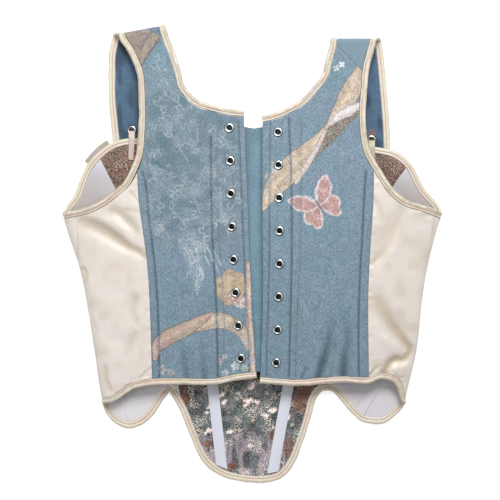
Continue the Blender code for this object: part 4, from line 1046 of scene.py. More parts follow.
def butterfly(colour, x, y):
    """The butterfly painted over a colour."""
    tilt = math.radians(BUTTERFLY_TILT)
    dx, dy = x - BUTTERFLY[0], y - BUTTERFLY[1]
    u = dx * math.cos(tilt) + dy * math.sin(tilt)
    v = dy * math.cos(tilt) - dx * math.sin(tilt)
    u = np.abs(u)
    near = (u < 30) & (np.abs(v) < 30)
    px, py, part = u[near], v[near], colour[near]
    for outline in (LOWER_WING, UPPER_WING):
        out = outside_of(outline, px, py)
        pink = mottled(px, py, OLD_PINK, PALE_PINK, 4, 71)
        part = paint(part, pink, cover(out))
        rays = ease(0.5 + 1.6 * np.sin(np.arctan2(py + 1, px + 0.1) * 13))
        part = paint(part, PLUM, 0.55 * rays * cover(out) * ease((13 - np.hypot(px, py)) / 9))
        border = out + 0.7 + 0.6 * noise(u[near], v[near], 2.2, 72)
        part = paint(part, WING_EDGE, 0.9 * bell(border, 0.7))
    part = paint(part, PLUM, 0.9 * cover(np.hypot(px, (py - 0.5) * 0.16) - 1.3))
    feeler = distance(((0.6, 7), (3.5, 13), (6.0, 17.5)), px, py, 3)
    part = paint(part, WING_LIGHT, 0.8 * bell(feeler, 0.5))
    colour = colour.copy()
    colour[near] = part
    return colour


def cream_tint(x, y):
    """Colour of the satin, with the shade in its creases and along its side fold."""
    colour = even(x.shape, CREAM)
    colour = colour * (1 + 0.03 * noise(x, y, 16, 5))[..., None]
    colour = paint(colour, BINDING_PINK, 0.2 * ease(noise(x, y, 24, 7)))
    # Random tan mottle, deepened along the sunken creases into painted shade
    tan_mottle_and_crease_shade = ease(0.15 + 0.9 * noise(x, y, 13, 6)) * 0.3
    for points, widths, heights in SATIN_CREASES:
        if min(heights) < -0.4:
            d, t, side = to_line(points, x, y, 3 * max(widths))
            deep = np.clip(0.2 - 0.5 * between(heights, t), 0, 1)
            tan_mottle_and_crease_shade = np.maximum(tan_mottle_and_crease_shade, deep * bell(d, between(widths, t)))
    colour = paint(colour, CREASE_TAN, 0.85 * tan_mottle_and_crease_shade)
    inset = half_width(x, y) - np.abs(x)
    return paint(colour, FOLD_SHADE, 0.5 * ease((2.2 - inset) / 2.2) * (y < FOLD[0][0]))


def puckered(lines, x, y, seed):
    """Height of the small puckers that sewing draws into the cloth beside a seam."""
    total = np.zeros(x.shape)
    for points in lines:
        near = bell(distance(points, x, y, 14), PUCKER_REACH)
        total += PUCKER_HEIGHT * noise(x, y, PUCKER_SIZE, seed) * near
    return total


# Upper layer


def eyelet_points(side):
    """Centres and axes of one side's lacing eyelets."""
    points = []
    for x, y in along(smooth(EYELET_ROWS[side]), np.linspace(0, 1, EYELETS_PER_SIDE)):
        points.append((np.array([x, y, near_z(x, y)]), slope_normal(near_z, x, y, True)))
    return points


def strap_edge(side, which, table):
    """Points of one edge of a strap."""
    return [(row[0], row[1]) if which == "outer" else (row[2], row[3]) for row in table[side]]


def seam_split(side, which, gap):
    """Near strap edge up to the back's diagonal seam, and from there on."""
    dense = smooth(strap_edge(side, which, STRAP_NEAR))
    row, part = STRAP_SEAM_ROW[side][0 if which == "outer" else 1]
    cut = min(int((row + part) * STEPS), len(dense) - 4)
    below, above = dense[:cut + 1].copy(), dense[cut:].copy()
    below[-1] = along(below, [1 - gap / path_length(below)])[0]
    above[0] = along(above, [gap / path_length(above)])[0]
    return below, above


def make_holes(points, centres, radius):
    """Leave out the cells that an eyelet's barrel passes through."""
    for centre in centres:
        away = np.hypot(points[..., 0] - centre[0], points[..., 1] - centre[1])
        points[away < radius] = np.nan


def back_surface(side, x, y):
    """Height of a back's cloth with its creases, channels and slight waves."""
    known = ~np.isnan(x)
    waves = np.zeros(x.shape)
    waves[known] = waved(BACK_WAVES, x[known], y[known])
    return near_z(x, y) + creased(BLUE_CREASES, x, y) + quilted(side, x, y) + waves


def build_stitches(side):
    """Rows of raised stitches that show beside a back's stitched lines."""
    verts, faces = [], []
    for number, aside, top in STITCH_ROWS[side]:
        line = smooth(STITCHED[side][number][0], 30)
        line = line[(line[:, 1] < top) & (line[:, 1] > -127)]
        ahead = unit(np.gradient(line, axis=0))
        x, y = line[:, 0] - ahead[:, 1] * aside, line[:, 1] + ahead[:, 0] * aside
        up = slope_normal(near_z, x, y, True)
        corners, extra = sewn(np.stack([x, y, back_surface(side, x, y) - 0.05], axis=1), up)
        start = sum(map(len, verts))
        faces += [[c + start for c in face] for face in extra]
        verts.append(corners)
    verts = np.concatenate(verts)
    tint = even(verts.shape[:1], STITCH_BLUE)
    return body(f"back_{side}_stitches", verts, faces, [THREAD], tint, takes=())


def build_back(side):
    """Back panel with its part of the strap; returns the rims that take bindings."""
    f, tall = BACK_FINE, BACK_TALL
    hem = BACK_HEM[side]
    seam_end, centre_end = HEM_SEAM[side], len(hem) - 1
    sign = 1 if side == "left" else -1
    low = spread(hem, (seam_end, centre_end), (STRAP_COLS + NECK_COLS) * f)
    seam_y = np.linspace(low[0][1], ARMHOLE[side][ARMHOLE_SEAM][1], SEAM_ROWS * tall + 1)
    seam = np.stack([rail(NEAR_SEAM, side, seam_y), seam_y], axis=1)
    arm = spread(ARMHOLE[side], (ARMHOLE_SEAM, len(ARMHOLE[side]) - 1), ARM_ROWS * tall)
    first = np.vstack([seam, arm[1:]])
    first[:SEAM_ROWS * tall + 1, 0] += sign * SEAM / 2
    low[0] = first[0]
    neck = spread(NECK[side], (0, len(NECK[side]) - 1), NECK_COLS * f)[::-1]
    foot = np.linspace(first[-1], neck[0], STRAP_COLS * f + 1)
    top = np.vstack([foot, neck[1:]])
    centre_y = np.linspace(low[-1][1], neck[-1][1], len(first))
    last = np.stack([rail(CENTRE, side, centre_y), centre_y], axis=1)
    low[-1], top[-1] = last[0], last[-1]
    plan = coons(low, top, first, last)
    extra = np.full((STRAP_ROWS * f, plan.shape[1], 2), np.nan)
    outer = seam_split(side, "outer", SEAM * 0.6)[0]
    inner = seam_split(side, "inner", SEAM * 0.6)[0]
    shares = evenly(STRAP_ROWS * f)[1:]
    a, b = along(outer, shares)[:, None], along(inner, shares)[:, None]
    extra[:, :STRAP_COLS * f + 1] = a + (b - a) * evenly(STRAP_COLS * f)[:, None]
    plan = np.concatenate([plan, extra])
    x, y = plan[..., 0], plan[..., 1]
    points = np.dstack([x, y, near_z(x, y)])
    normals = slope_normal(near_z, x, y, True)
    foot, width, strap = len(first) - 1, plan.shape[1] - 1, STRAP_COLS * f
    upwards = [*range(foot, plan.shape[0], f)]
    rims = {
        "arm": [(i, 0) for i in [*range(SEAM_ROWS * tall, foot, tall), *upwards]],
        "neck": [(foot, j) for j in range(width, strap, -f)] + [(i, strap) for i in upwards],
        "hem": [(0, j) for j in range(0, width + 1, f)],
    }
    rims = {name: [(points[k].copy(), normals[k]) for k in keys] for name, keys in rims.items()}
    points[..., 2] = back_surface(side, x, y)
    make_holes(points, [c for c, axis in eyelet_points(side)], EYELET_BARREL + MARGIN)
    tint, silver = woven_tint(x, y, side)
    shell(f"back_{side}_cloth", points, normals, CLOTH, [JACQUARD],
          tint, even(x.shape, BLUE), silver)
    build_stitches(side)
    return rims


def front_stretch(table, splits, side, part):
    """Dense stretch of a front edge, from the side fold inwards; part 0 side back, 1 side front."""
    dense = smooth(table)
    if side == "right":
        a, b = splits[-1 - part], splits[-2 - part]
        return dense[b * STEPS:a * STEPS + 1][::-1]
    return dense[splits[part] * STEPS:splits[part + 1] * STEPS + 1]


def lower_seam(table, side, part, rows, shift):
    """A seam on the lower layer, hem to top, moved inwards by a shift."""
    low = front_stretch(FRONT_HEM, HEM_SPLITS, side, part)[-1]
    high = front_stretch(FRONT_TOP, TOP_SPLITS, side, part)[-1]
    line = along(smooth([low, *table[side], high]), evenly(rows))
    line[:, 0] += shift * (1 if side == "left" else -1)
    return line


def build_side_back(side):
    """Satin panel from the back's seam, round the side fold, to the side seam below."""
    f = SIDE_FINE
    sign = 1 if side == "left" else -1
    hem, arm = BACK_HEM[side], ARMHOLE[side]
    rows = SIDE_ROWS * f
    sines = np.sin(np.linspace(0, math.pi / 2, NEAR_COLS * f + 1))
    bottom = along(smooth(hem)[:HEM_SEAM[side] * STEPS + 1][::-1], sines)
    top = along(smooth(arm)[:ARMHOLE_SEAM * STEPS + 1][::-1], sines)
    seam_y = np.linspace(bottom[0][1], top[0][1], rows + 1)
    first = np.stack([rail(NEAR_SEAM, side, seam_y), seam_y], axis=1)
    first[:, 0] -= sign * SEAM / 2
    fold_y = np.linspace(bottom[-1][1], top[-1][1], rows + 1)
    fold = np.stack([rail(FOLD, side, fold_y), fold_y], axis=1)
    bottom[0], top[0], bottom[-1], top[-1] = first[0], first[-1], fold[0], fold[-1]
    near = coons(bottom, top, first, fold, sines)
    cosines = 1 - np.cos(np.linspace(0, math.pi / 2, FAR_COLS * f + 1))
    far_bottom = along(front_stretch(FRONT_HEM, HEM_SPLITS, side, 0), cosines)
    far_top = along(front_stretch(FRONT_TOP, TOP_SPLITS, side, 0), cosines)
    last = lower_seam(SIDE_SEAM, side, 0, rows, -SEAM / 2)
    far_bottom[0], far_top[0] = fold[0], fold[-1]
    far_bottom[-1], far_top[-1] = last[0], last[-1]
    far = coons(far_bottom, far_top, fold, last, cosines)
    near_points = np.dstack([near, near_z(near[..., 0], near[..., 1])])
    near_points[:, -1, 2] = FOLD_Z
    far_points = np.dstack([far, far_z(far[..., 0], far[..., 1])])[:, 1:]
    points = np.concatenate([near_points, far_points], axis=1)
    normals = grid_normals(points) * (-sign)
    coarse = points[::f, ::f].copy()
    x, y = points[..., 0], points[..., 1]
    inset = np.clip((half_width(x, y) - np.abs(x)) / FOLD_EASE, 0, 1)
    count = near.shape[1]
    seams = ([(row[1 + SIDES.index(side)], row[0]) for row in NEAR_SEAM], arm, hem)
    waves = waved(SATIN_WAVES, x, y) + puckered(seams, x, y, 83) + creased(SATIN_CREASES, x, y)
    points[:, :count, 2] += (waves * inset)[:, :count]
    shell(f"side_back_{side}_satin", points, normals, CLOTH, [SATIN, LINING],
          cream_tint(x, y), lining_tint(x, y))
    facing = grid_normals(coarse) * (-sign)
    facing[:, :3] = slope_normal(near_z, coarse[:, :3, 0], coarse[:, :3, 1], True)
    facing[:, -1] = slope_normal(far_z, coarse[:, -1, 0], coarse[:, -1, 1], False)

    def pick(i, js):
        """Rim points of one coarse row, over some of its columns."""
        return [(coarse[i, j], facing[i, j]) for j in js]

    near_js, far_js = range(NEAR_COLS + 1), range(NEAR_COLS, NEAR_COLS + FAR_COLS + 1)
    return {"hem": pick(0, near_js), "arm": pick(-1, near_js),
            "far_hem": pick(0, far_js), "far_top": pick(-1, far_js)}


def build_flat(name, bottom, top, first, last, f, materials, outer_tint, inner_tint):
    """A panel of the lower layer; returns its hem and top rims."""
    bottom[0], bottom[-1], top[0], top[-1] = first[0], last[0], first[-1], last[-1]
    plan = coons(bottom, top, first, last)
    x, y = plan[..., 0], plan[..., 1]
    points = np.dstack([x, y, far_z(x, y)])
    normals = slope_normal(far_z, x, y, False)
    cols = range(0, plan.shape[1], f)
    rims = {"far_hem": [(points[0, j].copy(), normals[0, j]) for j in cols],
            "far_top": [(points[-1, j].copy(), normals[-1, j]) for j in cols]}
    thick = FAR_CLOTH + np.maximum(creased(LINING_CREASES, x, y), -0.9)[..., None]
    silver = (0.2 + 0.7 * ease(0.3 + 1.4 * noise(x, y, 8, 22))) * (1 - 0.75 * coppery(x, y))
    silver = silver + 0.3 * ease((y - 20) / 30)
    shell(f"{name}_cloth", points, normals, thick, materials,
          outer_tint(x, y), inner_tint(x, y), silver)
    return rims


def lining_tint(x, y):
    """Colour of the white lining, shaded inside the tabs and the armholes."""
    colour = even(x.shape, WHITE) * (1 + 0.03 * noise(x, y, 12, 9))[..., None]
    corner_shade = ease((72 - np.hypot(np.abs(x) - 182, y - 44)) / 55) * (y > 0)
    return layered(colour, (LILAC_WHITE, 0.5 * ease(noise(x, y, 15, 10))),
                   (LEFT_TAB_WHITE, 0.8 * (y < -100) * (x < 0)),
                   (RIGHT_TAB_WHITE, 0.6 * (y < -100) * (x > 0)),
                   (SHADED_WHITE, 0.9 * corner_shade))


def coppery(x, y):
    """Share of copper thread on the inside of the front."""
    share = ease((y - 20) / 30)
    for cx, cy, wide, high in COPPER_PATCHES:
        away = ((x - cx) / wide) ** 2 + ((y - cy) / high) ** 2
        share = np.maximum(share, ease(1.4 - away + 0.8 * noise(x, y, 4, 26)))
    return share


def tongue_tint(x, y):
    """Mottled reverse of the tapestry: teal and grey floats, copper near its edges."""
    colour = mottled(x, y, TEAL_THREAD, GREY_THREAD, 5, 21)
    colour = paint(colour, DARK_THREAD, 0.95 * ease(3.6 * noise(x, y, 7, 24) + 0.15))
    streaks = ease((-182 - y) / 26) * ease(0.4 + 1.4 * noise(x, y / 6, 2.6, 25))
    colour = paint(colour, LILAC_THREAD, 0.9 * streaks)
    colour = paint(colour, mottled(x, y, COPPER, DARK_COPPER, 3, 27), 0.92 * coppery(x, y))
    rng = np.random.default_rng(28)
    for k in range(FLOATS):
        cx, cy = rng.uniform(-52, 44), rng.uniform(-212, -140)
        turn, size = rng.uniform(-0.9, 0.9), rng.uniform(0.8, 2.5)
        u = (x - cx) * math.cos(turn) + (y - cy) * math.sin(turn)
        v = (y - cy) * math.cos(turn) - (x - cx) * math.sin(turn)
        away = np.hypot(u / 1.9, v) - size * (0.9 + 0.45 * noise(x, y, 1.8, 29 + k))
        colour = paint(colour, PINK_THREAD, 0.95 * cover(away, 0.5))
    upper = ease((y - 20) / 30)
    colour = paint(colour, DEEP_BROWN, 0.6 * upper * ease(3 * noise(x, y, 2.2, 33) - 0.6))
    for side in SIDES:
        colour = paint(colour, BROWN, 0.85 * bell(distance(FRONT_SEAM[side], x, y, 8), 2.0))
    return colour * (1 - 0.3 * upper)[..., None]


def build_side_front(side):
    """Lined panel between the side seam and the front's seam."""
    f = SIDE_FRONT_FINE
    first = lower_seam(SIDE_SEAM, side, 0, FRONT_ROWS * f * 2, SEAM / 2)
    last = lower_seam(FRONT_SEAM, side, 1, FRONT_ROWS * f * 2, -SEAM / 2)
    shares = evenly(SIDE_FRONT_COLS * f)
    bottom = along(front_stretch(FRONT_HEM, HEM_SPLITS, side, 1), shares)
    top = along(front_stretch(FRONT_TOP, TOP_SPLITS, side, 1), shares)
    return build_flat(f"side_front_{side}", bottom, top, first, last, f, [SATIN, LINING],
                      cream_tint, lining_tint)


def build_front():
    """Middle front panel with its long tongue."""
    f = FRONT_FINE
    rows = FRONT_ROWS * f * 2
    first = lower_seam(FRONT_SEAM, "left", 1, rows, SEAM / 2)
    last = lower_seam(FRONT_SEAM, "right", 1, rows, SEAM / 2)
    bottom = spread(FRONT_HEM, HEM_SPLITS[2:4], FRONT_COLS * f)
    top = spread(FRONT_TOP, TOP_SPLITS[2:4], FRONT_COLS * f)
    return build_flat("front", bottom, top, first, last, f, [TAPESTRY, TAPESTRY],
                      tongue_tint, tongue_tint)


def strap_tints(points, side):
    """Colours of a strap's outer and inner face."""
    x, y = np.nan_to_num(points[..., 0]), np.nan_to_num(points[..., 1])
    # Dark wavy bands on the strap's inside: painted shade of its folds
    dark = np.asarray(INSIDE_BLUE) * 0.3
    wavy_shade = ease(1.3 * noise(x * 1.3, y * 0.6 + x * 0.5, 8, 91))
    inside = paint(even(x.shape, INSIDE_BLUE), dark, 0.75 * wavy_shade)
    inside = inside * (1 + 0.12 * noise(x, y, 3, 92))[..., None]
    if side == "right":
        spot = np.hypot((x - 127.5) * 1.1, y - 128.5) - 5.2
        return even(x.shape, BLUE), paint(inside, STRAP_STAIN, 0.75 * cover(spot, 0.8))
    outer, inner = (np.array(seam_split(side, which, 0.3)[1][0]) for which in ("outer", "inner"))
    d = distance((outer, inner), x, y, 20)
    outside = mottled(x, y, BEIGE, MAUVE, 7, 93) * (1 + 0.22 * noise(x, y, 2.6, 99))[..., None]
    band = mottled(x, y, STRAP_SAND, MAUVE, 3, 94)
    outside = layered(outside, (band, 0.8 * ease((11 - d) / 3)),
                      (BROWN, 0.5 * bell(d - 11, 0.8) * ease(noise(x, y, 3, 97) + 0.6)),
                      (BROWN, 0.7 * bell(d, 1.1)))
    corner_cover = cover(outside_of(STRAP_CORNER, x, y, 20), 0.8)
    corner_tint = mottled(x, y, CORNER_BLUE, CORNER_LILAC, 2.5, 95)
    return paint(outside, corner_tint, corner_cover * (points[..., 2] > 4)), inside


def build_strap(side):
    """Strap from its seam on the back, over the shoulder fold, to its end under the front."""
    f = STRAP_FINE
    outer_near = seam_split(side, "outer", SEAM * 0.6)[1]
    inner_near = seam_split(side, "inner", SEAM * 0.6)[1]
    share = evenly(STRAP_COLS * f)[:, None]

    def across(a, b):
        """Rows of points from one edge to the other."""
        return a[:, None] * (1 - share) + b[:, None] * share

    shares = evenly(OVER_STEPS * f)
    near = across(along(outer_near, shares), along(inner_near, shares))
    near = np.dstack([near, near_z(near[..., 0], near[..., 1])])
    far_edges = [np.hstack([along(smooth(strap_edge(side, which, STRAP_FAR)),
                                  evenly(UNDER_STEPS * f)),
                            np.zeros((UNDER_STEPS * f + 1, 1))])
                 for which in ("outer", "inner")]
    far = across(*far_edges)
    angle = (math.pi / 2 - math.pi * np.arange(1, LOOP_STEPS * f) / (LOOP_STEPS * f))[:, None, None]
    drift = (1 - np.sin(angle)) / 2
    loop = near[-1:] * (1 - drift) + far[:1] * drift
    loop[..., 1:2] += LOOP_REACH * np.cos(angle)
    top, low = near[-1:, :, 2:], far[:1, :, 2:]
    loop[..., 2:] = (top + low) / 2 + (top - low) / 2 * np.sin(angle)
    points = np.concatenate([near, loop, far])
    normals = grid_normals(points) * (1 if side == "left" else -1)
    normals[-UNDER_STEPS * f - 1:] = (0.0, 0.0, -1.0)
    coarse, facing = points[::f, ::STRAP_COLS * f].copy(), normals[::f, ::STRAP_COLS * f]
    x, y = STRAP_EYELETS[side]
    away = np.hypot(points[..., 0] - x, points[..., 1] - y)
    points[(away < EYELET_BARREL + MARGIN) & (points[..., 2] < 1.0)] = np.nan
    left = side == "left"
    outside, inside = strap_tints(points, side)
    shell(f"strap_{side}_cloth", points, normals, FAR_CLOTH, [BEIGE_CLOTH if left else PLAIN],
          outside, inside)
    return {"outer": list(zip(coarse[:, 0], facing[:, 0])),
            "inner": list(zip(coarse[:, -1], facing[:, -1]))}


def build_modesty():
    """Plain panel behind the lacing, sewn under the left back."""
    share = evenly(MODESTY_COLS)[None, :]
    up = evenly(MODESTY_ROWS)[:, None]
    x = MODESTY_HALF * (2 * share - 1) + MODESTY_SHIFT + 0 * up
    high = np.interp(share, np.linspace(0, 1, len(MODESTY_TOP)), MODESTY_TOP)
    y = between((MODESTY_LOW, high), up)
    normals = slope_normal(near_z, x, y, True)
    points = np.dstack([x, y, near_z(x, y)]) - normals * (CLOTH + SEAM + MODESTY_GAP)
    for side in SIDES:
        row = smooth(EYELET_ROWS[side])[::-1]
        away = np.abs(x - np.interp(y, row[:, 1], row[:, 0]))
        points[..., 2] -= MODESTY_SAG * bell(away, SAG_WIDTH)
    colour = mottled(x, y, MODESTY_BLUE, np.asarray(MODESTY_BLUE) * 0.86, 20, 96)
    colour = colour * (1 + 0.09 * noise(x, y / 12, 3.0, 98))[..., None]
    # Painted shade along both edges of the gap, where the backs' edges overhang the panel
    colour = layered(colour, (MODESTY_SHADE, 0.7 * bell(x + 6.0, 3.2)),
                     (DEEP_TEAL, 0.55 * bell(x - 9.5, 2.0)))
    return shell("modesty_cloth", points, normals, MODESTY_THICK, [PLAIN],
                 colour, colour, takes=("modesty_panel",))


# Bindings


def turn_gently(out, up, order):
    """Swing the outward directions at a binding's end over from its mitre."""
    start = out[order[0]].copy()
    for step, k in enumerate(order):
        share = step / MITRE_STEPS
        mixed = start * (1 - share) + out[k] * share
        mixed -= up[k] * np.dot(mixed, up[k])
        out[k] = mixed / np.linalg.norm(mixed)


def binding_section(roll, sway):
    """Section of a bias binding for each station, with a roll outside its line of stitches."""
    sections = []
    for r, wide in zip(roll, sway):
        top = []
        for t in PUFF:
            a = SEAM + (BINDING + wide) * t
            inner = INNER_RISE * math.sin(math.pi * min(t / GROOVE, 1.0))
            beyond = min(max((t - GROOVE) / (1 - GROOVE), 0.0), 1.0)
            swell = ROLL_RISE * math.sin(math.pi * beyond) ** 0.8 * r
            dip = GROOVE_DIP * bell(t - GROOVE, 0.09)
            outer_drop = OUTER_DROP * max(0.0, (t - 0.86) / 0.14) ** 2
            inner_drop = INNER_DROP * max(0.0, 1 - t / 0.1)
            top.append((a, inner + swell - dip - outer_drop - inner_drop))
        outside = SEAM + BINDING + wide
        under = [(SEAM + (BINDING + wide) * t, -BINDING_THICK + rise) for t, rise in UNDERSIDE]
        sections.append(top + [(outside, -1.4)] + under + [(SEAM, -1.6)])
    return np.array(sections)


def binding_tint(run, seed):
    """Colour of a binding at each station and each point of its section."""
    far, near = np.meshgrid(np.array(PUFF) * BINDING, run)
    top = mottled(near, far, BINDING_CREAM, BINDING_PINK, 17, seed + 4)
    top = paint(top, BINDING_GREEN, 0.6 * ease(1.4 * noise(near, far, 22, seed + 5) - 0.2))
    top = top * (1 + 0.10 * noise(near, far * 0.5, 2.4, seed + 6))[..., None]
    share = np.broadcast_to(np.array(PUFF), top.shape[:2])
    # Tan in the stitches' groove and at the inner edge, olive on the roll and at the outer edge:
    # painted shade, varying along the binding
    shaded = ease(0.5 + 1.3 * noise(near, far * 0.1, 14, seed + 7))
    deep = 0.15 + 0.4 * (1 - shaded)
    top = layered(top, (TAN, deep * bell(share - GROOVE, 0.12)),
                  (OLIVE_TAN, 0.55 * shaded * bell(share - 0.72, 0.16)),
                  (OLIVE_TAN, 0.85 * ease((share - 0.84) / 0.14)),
                  (TAN, 0.8 * ease((0.1 - share) / 0.1)))
    lower = np.array([0.97, *(t for t, rise in UNDERSIDE), 0.0])
    far, near = np.meshgrid(lower, run)
    # The underside, the face that shows on the lower layer's bindings, is 1.12 times brighter than
    # the top: painted light; its tan groove and edges are painted shade
    below = mottled(near, far * BINDING, BINDING_CREAM, BINDING_PINK, 15, seed + 8) * 1.12
    below = layered(below, (BINDING_GREEN, 0.5 * ease((far - 0.5) / 0.3)),
                    (TAN, 0.75 * bell(far - 0.42, 0.07) + 0.5 * ease((0.12 - far) / 0.1)),
                    (TAN, 0.45 * ease((far - 0.88) / 0.09)))
    return np.concatenate([top, below], axis=1)


def binding(name, rim, flip, first_tangent=None, last_tangent=None):
    """Bias binding outside a rim of points and outer normals."""
    points = np.array([p for p, n in rim])
    up = unit(np.array([n for p, n in rim]))
    tangent = np.gradient(points, axis=0)
    if first_tangent is not None:
        tangent[0] = first_tangent
    if last_tangent is not None:
        tangent[-1] = last_tangent
    out = unit(np.cross(tangent, up) * (1 if flip else -1))
    if first_tangent is not None:
        turn_gently(out, up, range(MITRE_STEPS))
    if last_tangent is not None:
        turn_gently(out, up, range(len(out) - 1, len(out) - 1 - MITRE_STEPS, -1))
    points = points + up * PROUD * np.clip(up[:, 2:], 0, 1)
    dense = smooth(np.hstack([points, up, out]), 10)
    points, up, out = dense[:, :3], unit(dense[:, 3:6]), unit(dense[:, 6:])
    run = running(points)
    seed = sum(map(ord, name))
    still = np.zeros(run.shape)
    roll = 1 + waved([(*wave, seed + k) for k, wave in enumerate(ROLL_WAVES)], run, still)
    sway = waved([(*wave, seed + 2 + k) for k, wave in enumerate(SWAY_WAVES)], run, still)
    line = points + out * (SEAM + BINDING * GROOVE) - up * 0.3
    return swept(f"{name}_satin", points, up, out, binding_section(roll, sway), [BIAS],
                 binding_tint(run, seed), sewn(line, up, height=0.35),
                 BINDING_CREAM)


def join_rims(*rims):
    """One rim from several that follow each other, without points that meet."""
    path = []
    for rim in rims:
        for p, n in rim:
            if path and np.linalg.norm(p - path[-1][0]) < 1.0:
                continue
            path.append((p, n))
    return path


def shorten(rim, first=0.0, last=0.0):
    """A rim whose ends are drawn in by the given lengths."""
    rim = [(p.copy(), n) for p, n in rim]
    for end, inner, pull in ((0, 1, first), (-1, -2, last)):
        if pull:
            p, q = rim[end][0], rim[inner][0]
            rim[end] = (p + unit(q - p) * pull, rim[end][1])
    return rim


def corner(near, far):
    """Direction halfway round a fold corner, where two bindings meet in a mitre."""
    return unit(near[-1][0] - near[-2][0]) + unit(far[1][0] - far[0][0])


# Small pieces


def ring(name, centre, axis):
    """Eyelet: a rolled flange over a barrel."""
    axis = unit(axis)
    side = unit(np.cross(axis, (0.0, 1.0, 0.0)))
    other = np.cross(axis, side)
    foot = RING_FOOT - CLOTH
    turn = np.linspace(math.pi, 0, 9)
    middle, half = (EYELET_HOLE + EYELET_FLANGE) / 2, (EYELET_FLANGE - EYELET_HOLE) / 2
    profile = [(EYELET_HOLE, foot), (EYELET_HOLE, SEAM + RING_TOP)]
    profile += [(middle + half * math.cos(t), SEAM + EYELET_HEIGHT * math.sin(t)) for t in turn]
    profile += [(EYELET_FLANGE, SEAM), (EYELET_BARREL, SEAM), (EYELET_BARREL, foot)]
    sides, n = RING_SIDES, len(profile)
    verts, faces = [], []
    for i in range(sides):
        angle = math.tau * i / sides
        spoke = side * math.cos(angle) + other * math.sin(angle)
        verts += [centre + spoke * r + axis * h for r, h in profile]
    for i in range(sides):
        for k in range(n):
            a, b = i * n + k, i * n + (k + 1) % n
            c = ((i + 1) % sides) * n
            faces.append([a, b, c + (k + 1) % n, c + k])
    # Painted reflection: two lighter and two darker bands round the ring
    painted_reflection = 0.78 + 0.22 * np.cos(2 * math.tau * np.arange(sides) / sides - 1.4)
    tint = np.outer(painted_reflection, RING_LIGHT_AND_SHADE).reshape(-1, 1) * np.array((1.0, 1.0, 0.97))
    return body(name, verts, faces, [NICKEL], tint)


def build_tape(side):
    """Boning tape stitched to the inside of the front."""
    x0, y0, x1, y1 = TAPES[side]
    y0 -= TAPE_PAST
    share = evenly(TAPE_STEPS)
    x, y = between((x0, x1), share), between((y0, y1), share)
    path = np.stack([x, y, far_z(x, y) + FAR_CLOTH + SEAM], axis=1)
    direction = unit(np.array([x1 - x0, y1 - y0, 0.0]))
    slant = TAPE_SLANT[side] * np.maximum(1 - TAPE_CUT * share, 0)
    out = np.array([direction[1], -direction[0], 0.0]) + direction * slant[:, None]
    half = TAPE_WIDTH / 2
    section = [(-half, 0.0), (half, 0.0), (half, 0.5), (half - 0.6, 0.8), (half - 1.4, 0.65),
               (half - 2.4, 1.0), (2.0, 1.25), (0.0, 1.3), (-2.0, 1.25), (2.4 - half, 1.0),
               (1.4 - half, 0.65), (0.6 - half, 0.8), (-half, 0.5)]
    tint = even((len(path), len(section)), TAPE_WHITE)
    return swept(f"boning_tape_{side}_cloth", path, UP, out, section, [TAPE],
                 tint)


def build_tie(side):
    """Ribbon tab from inside the front's top, over the binding, to the strap's eyelet."""
    x, y = TIES[side][-1][:2]
    path = smooth([*TIES[side], *((x, y + step, height) for step, height in TIE_END)], 8)
    count = len(path)
    inside = ease((path[:, 1] - y + 0.2) / 0.8)
    out = np.tile((1.0, 0.0, 0.0), (count, 1))
    width = np.linspace(TIE_NARROW, 1.0, count) * (1 - TIE_PINCH * inside)
    half = RIBBON_WIDTH / 2
    across = np.linspace(-1, 1, 9)
    top = np.stack([across * half, RIBBON_THICK + 0.25 * np.cos(across * 6)], axis=1)
    section = np.vstack([[(-half, 0.0), (half, 0.0)], top[::-1]])
    profile = np.tile(section, (count, 1, 1))
    profile[..., 0] *= width[:, None]
    tint = even(profile.shape[:2], BINDING_PINK if side == "left" else BINDING_GREEN) * 0.85
    # The tie's end inside the eyelet is painted black: painted shadow in the hole
    tint = paint(tint, HOLE_SHADOW_BLACK, np.tile(inside[:, None], (1, profile.shape[1])))
    return swept(f"ribbon_tie_{side}_satin", path, UP, out, profile, [BIAS],
                 tint)


def ribbon_tail():
    """Slack of the left ribbon tie, showing just outside the front's top edge."""
    dense = smooth(FRONT_TOP)[TAIL_ROWS[0]:TAIL_ROWS[1] + 1]
    line = along(dense, evenly(TAIL_STEPS))
    tangent = np.gradient(line, axis=0)
    out = unit(np.stack([-tangent[:, 1], tangent[:, 0], 0 * tangent[:, 0]], axis=1))
    plan = line + out[:, :2] * (SEAM + BINDING - TAIL_TUCK)
    height = np.maximum(lift(plan[:, 0], plan[:, 1]) - RIBBON_THICK - SEAM - 0.25, 0.0)
    path = np.hstack([plan, height[:, None]])
    width = TAIL_WIDTH + TAIL_TUCK
    section = [(0, 0), (width, 0), (width, 0.6), (width - 0.7, 1.0), (width * 0.6, 0.8),
               (width * 0.3, 1.0), (0, 1.0)]
    profile = np.tile(np.array(section), (len(path), 1, 1))
    # Darker, greyer copy of the ribbon's colours: painted shade under the front's top edge
    tint = mottled(profile[..., 0] + path[:, :1], np.zeros(profile.shape[:2]) + path[:, 1:2],
                   TAIL_SHADED_PINK, TAIL_SHADED_GREEN, 9, 35)
    return swept("ribbon_tail_left_satin", path, UP, out, profile, [BIAS], tint)


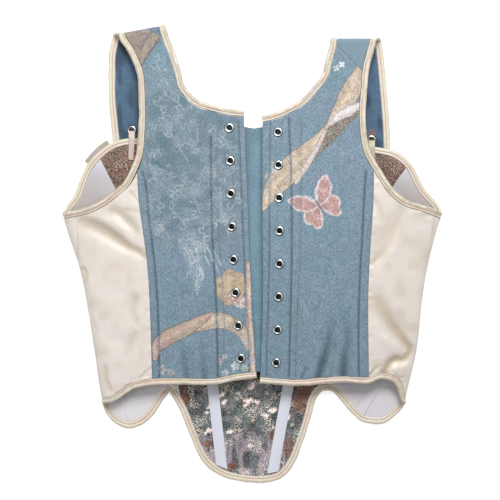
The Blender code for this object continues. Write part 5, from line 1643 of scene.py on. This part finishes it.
def build_garment():
    """Every piece, with the bindings along the joined rims of the panels."""
    backs = {side: build_back(side) for side in SIDES}
    side_backs = {side: build_side_back(side) for side in SIDES}
    side_fronts = {side: build_side_front(side) for side in SIDES}
    front = build_front()
    straps = {side: build_strap(side) for side in SIDES}
    build_modesty()
    ribbon_tail()
    corners = {}
    for side in SIDES:
        left, panel = side == "left", side_backs[side]
        corners[side] = {"top": corner(panel["arm"], panel["far_top"]),
                         "hem": corner(panel["hem"], panel["far_hem"])}
        binding(f"armhole_binding_{side}",
                join_rims(shorten(panel["arm"][::-1], first=SEAM / 2),
                          backs[side]["arm"], straps[side]["outer"]),
                not left, -corners[side]["top"])
        binding(f"neck_binding_{side}",
                join_rims(backs[side]["neck"], straps[side]["inner"]), left)
        binding(f"back_hem_binding_{side}",
                join_rims(shorten(panel["hem"][::-1], first=SEAM / 2), backs[side]["hem"]),
                left, -corners[side]["hem"])
        for i, (centre, axis) in enumerate(eyelet_points(side)):
            ring(f"eyelet_{side}_{i + 1}_ring", centre, axis)
        ring(f"strap_eyelet_{side}_ring", np.array([*STRAP_EYELETS[side], FAR_CLOTH]),
             np.array(UP))
        build_tape(side)
        build_tie(side)
    for edge, name, flip in (("hem", "front_hem_binding", False),
                             ("top", "front_top_binding", True)):
        far = "far_" + edge
        rim = join_rims(side_backs["left"][far], side_fronts["left"][far], front[far],
                        side_fronts["right"][far][::-1], side_backs["right"][far][::-1])
        rim = shorten(rim, first=SEAM / 2, last=SEAM / 2)
        binding(name, rim, flip, corners["left"][edge], -corners["right"][edge])


build_garment()


# Floor, light and camera


def floor():
    """Pale floor under the garment."""
    mesh = bpy.data.meshes.new("floor")
    reach, z = FLOOR_REACH, FLOOR_Z
    mesh.from_pydata([(-reach, -reach, z), (reach, -reach, z), (reach, reach, z),
                      (-reach, reach, z)], [], [(0, 1, 2, 3)])
    mat, tree, shader = new_material("pale floor")
    settle(shader, {"Base Color": (0.9, 0.9, 0.9, 1.0), "Roughness": 0.9,
                    "Emission Color": (1.0, 1.0, 1.0, 1.0), "Emission Strength": 0.42})
    mesh.materials.append(mat)
    place("floor", mesh)


def area_light(name, spot, size, power):
    """Soft square light that points at the middle of the garment."""
    light = bpy.data.lights.new(name, "AREA")
    light.size = size
    light.energy = power
    obj = place(name, light)
    obj.location = spot
    direction = -np.array(spot)
    yaw = math.atan2(direction[1], direction[0])
    drop = math.acos(-direction[2] / np.linalg.norm(direction))
    obj.rotation_euler = (0.0, -drop, yaw)


floor()
area_light(*KEY_LIGHT)
area_light(*FILL_LIGHT)
world = bpy.data.worlds.new("studio")
world.use_nodes = True
settle(world.node_tree.nodes["Background"], {"Color": (1.0, 1.0, 1.0, 1.0), "Strength": 0.36})
bpy.context.scene.world = world

bpy.context.scene.view_settings.view_transform = "Standard"

camera = bpy.data.cameras.new("camera")
camera.lens = 150
camera.sensor_width = 36
camera_object = place("camera", camera)
camera_object.location = CAMERA_PLACE
bpy.context.scene.camera = camera_object
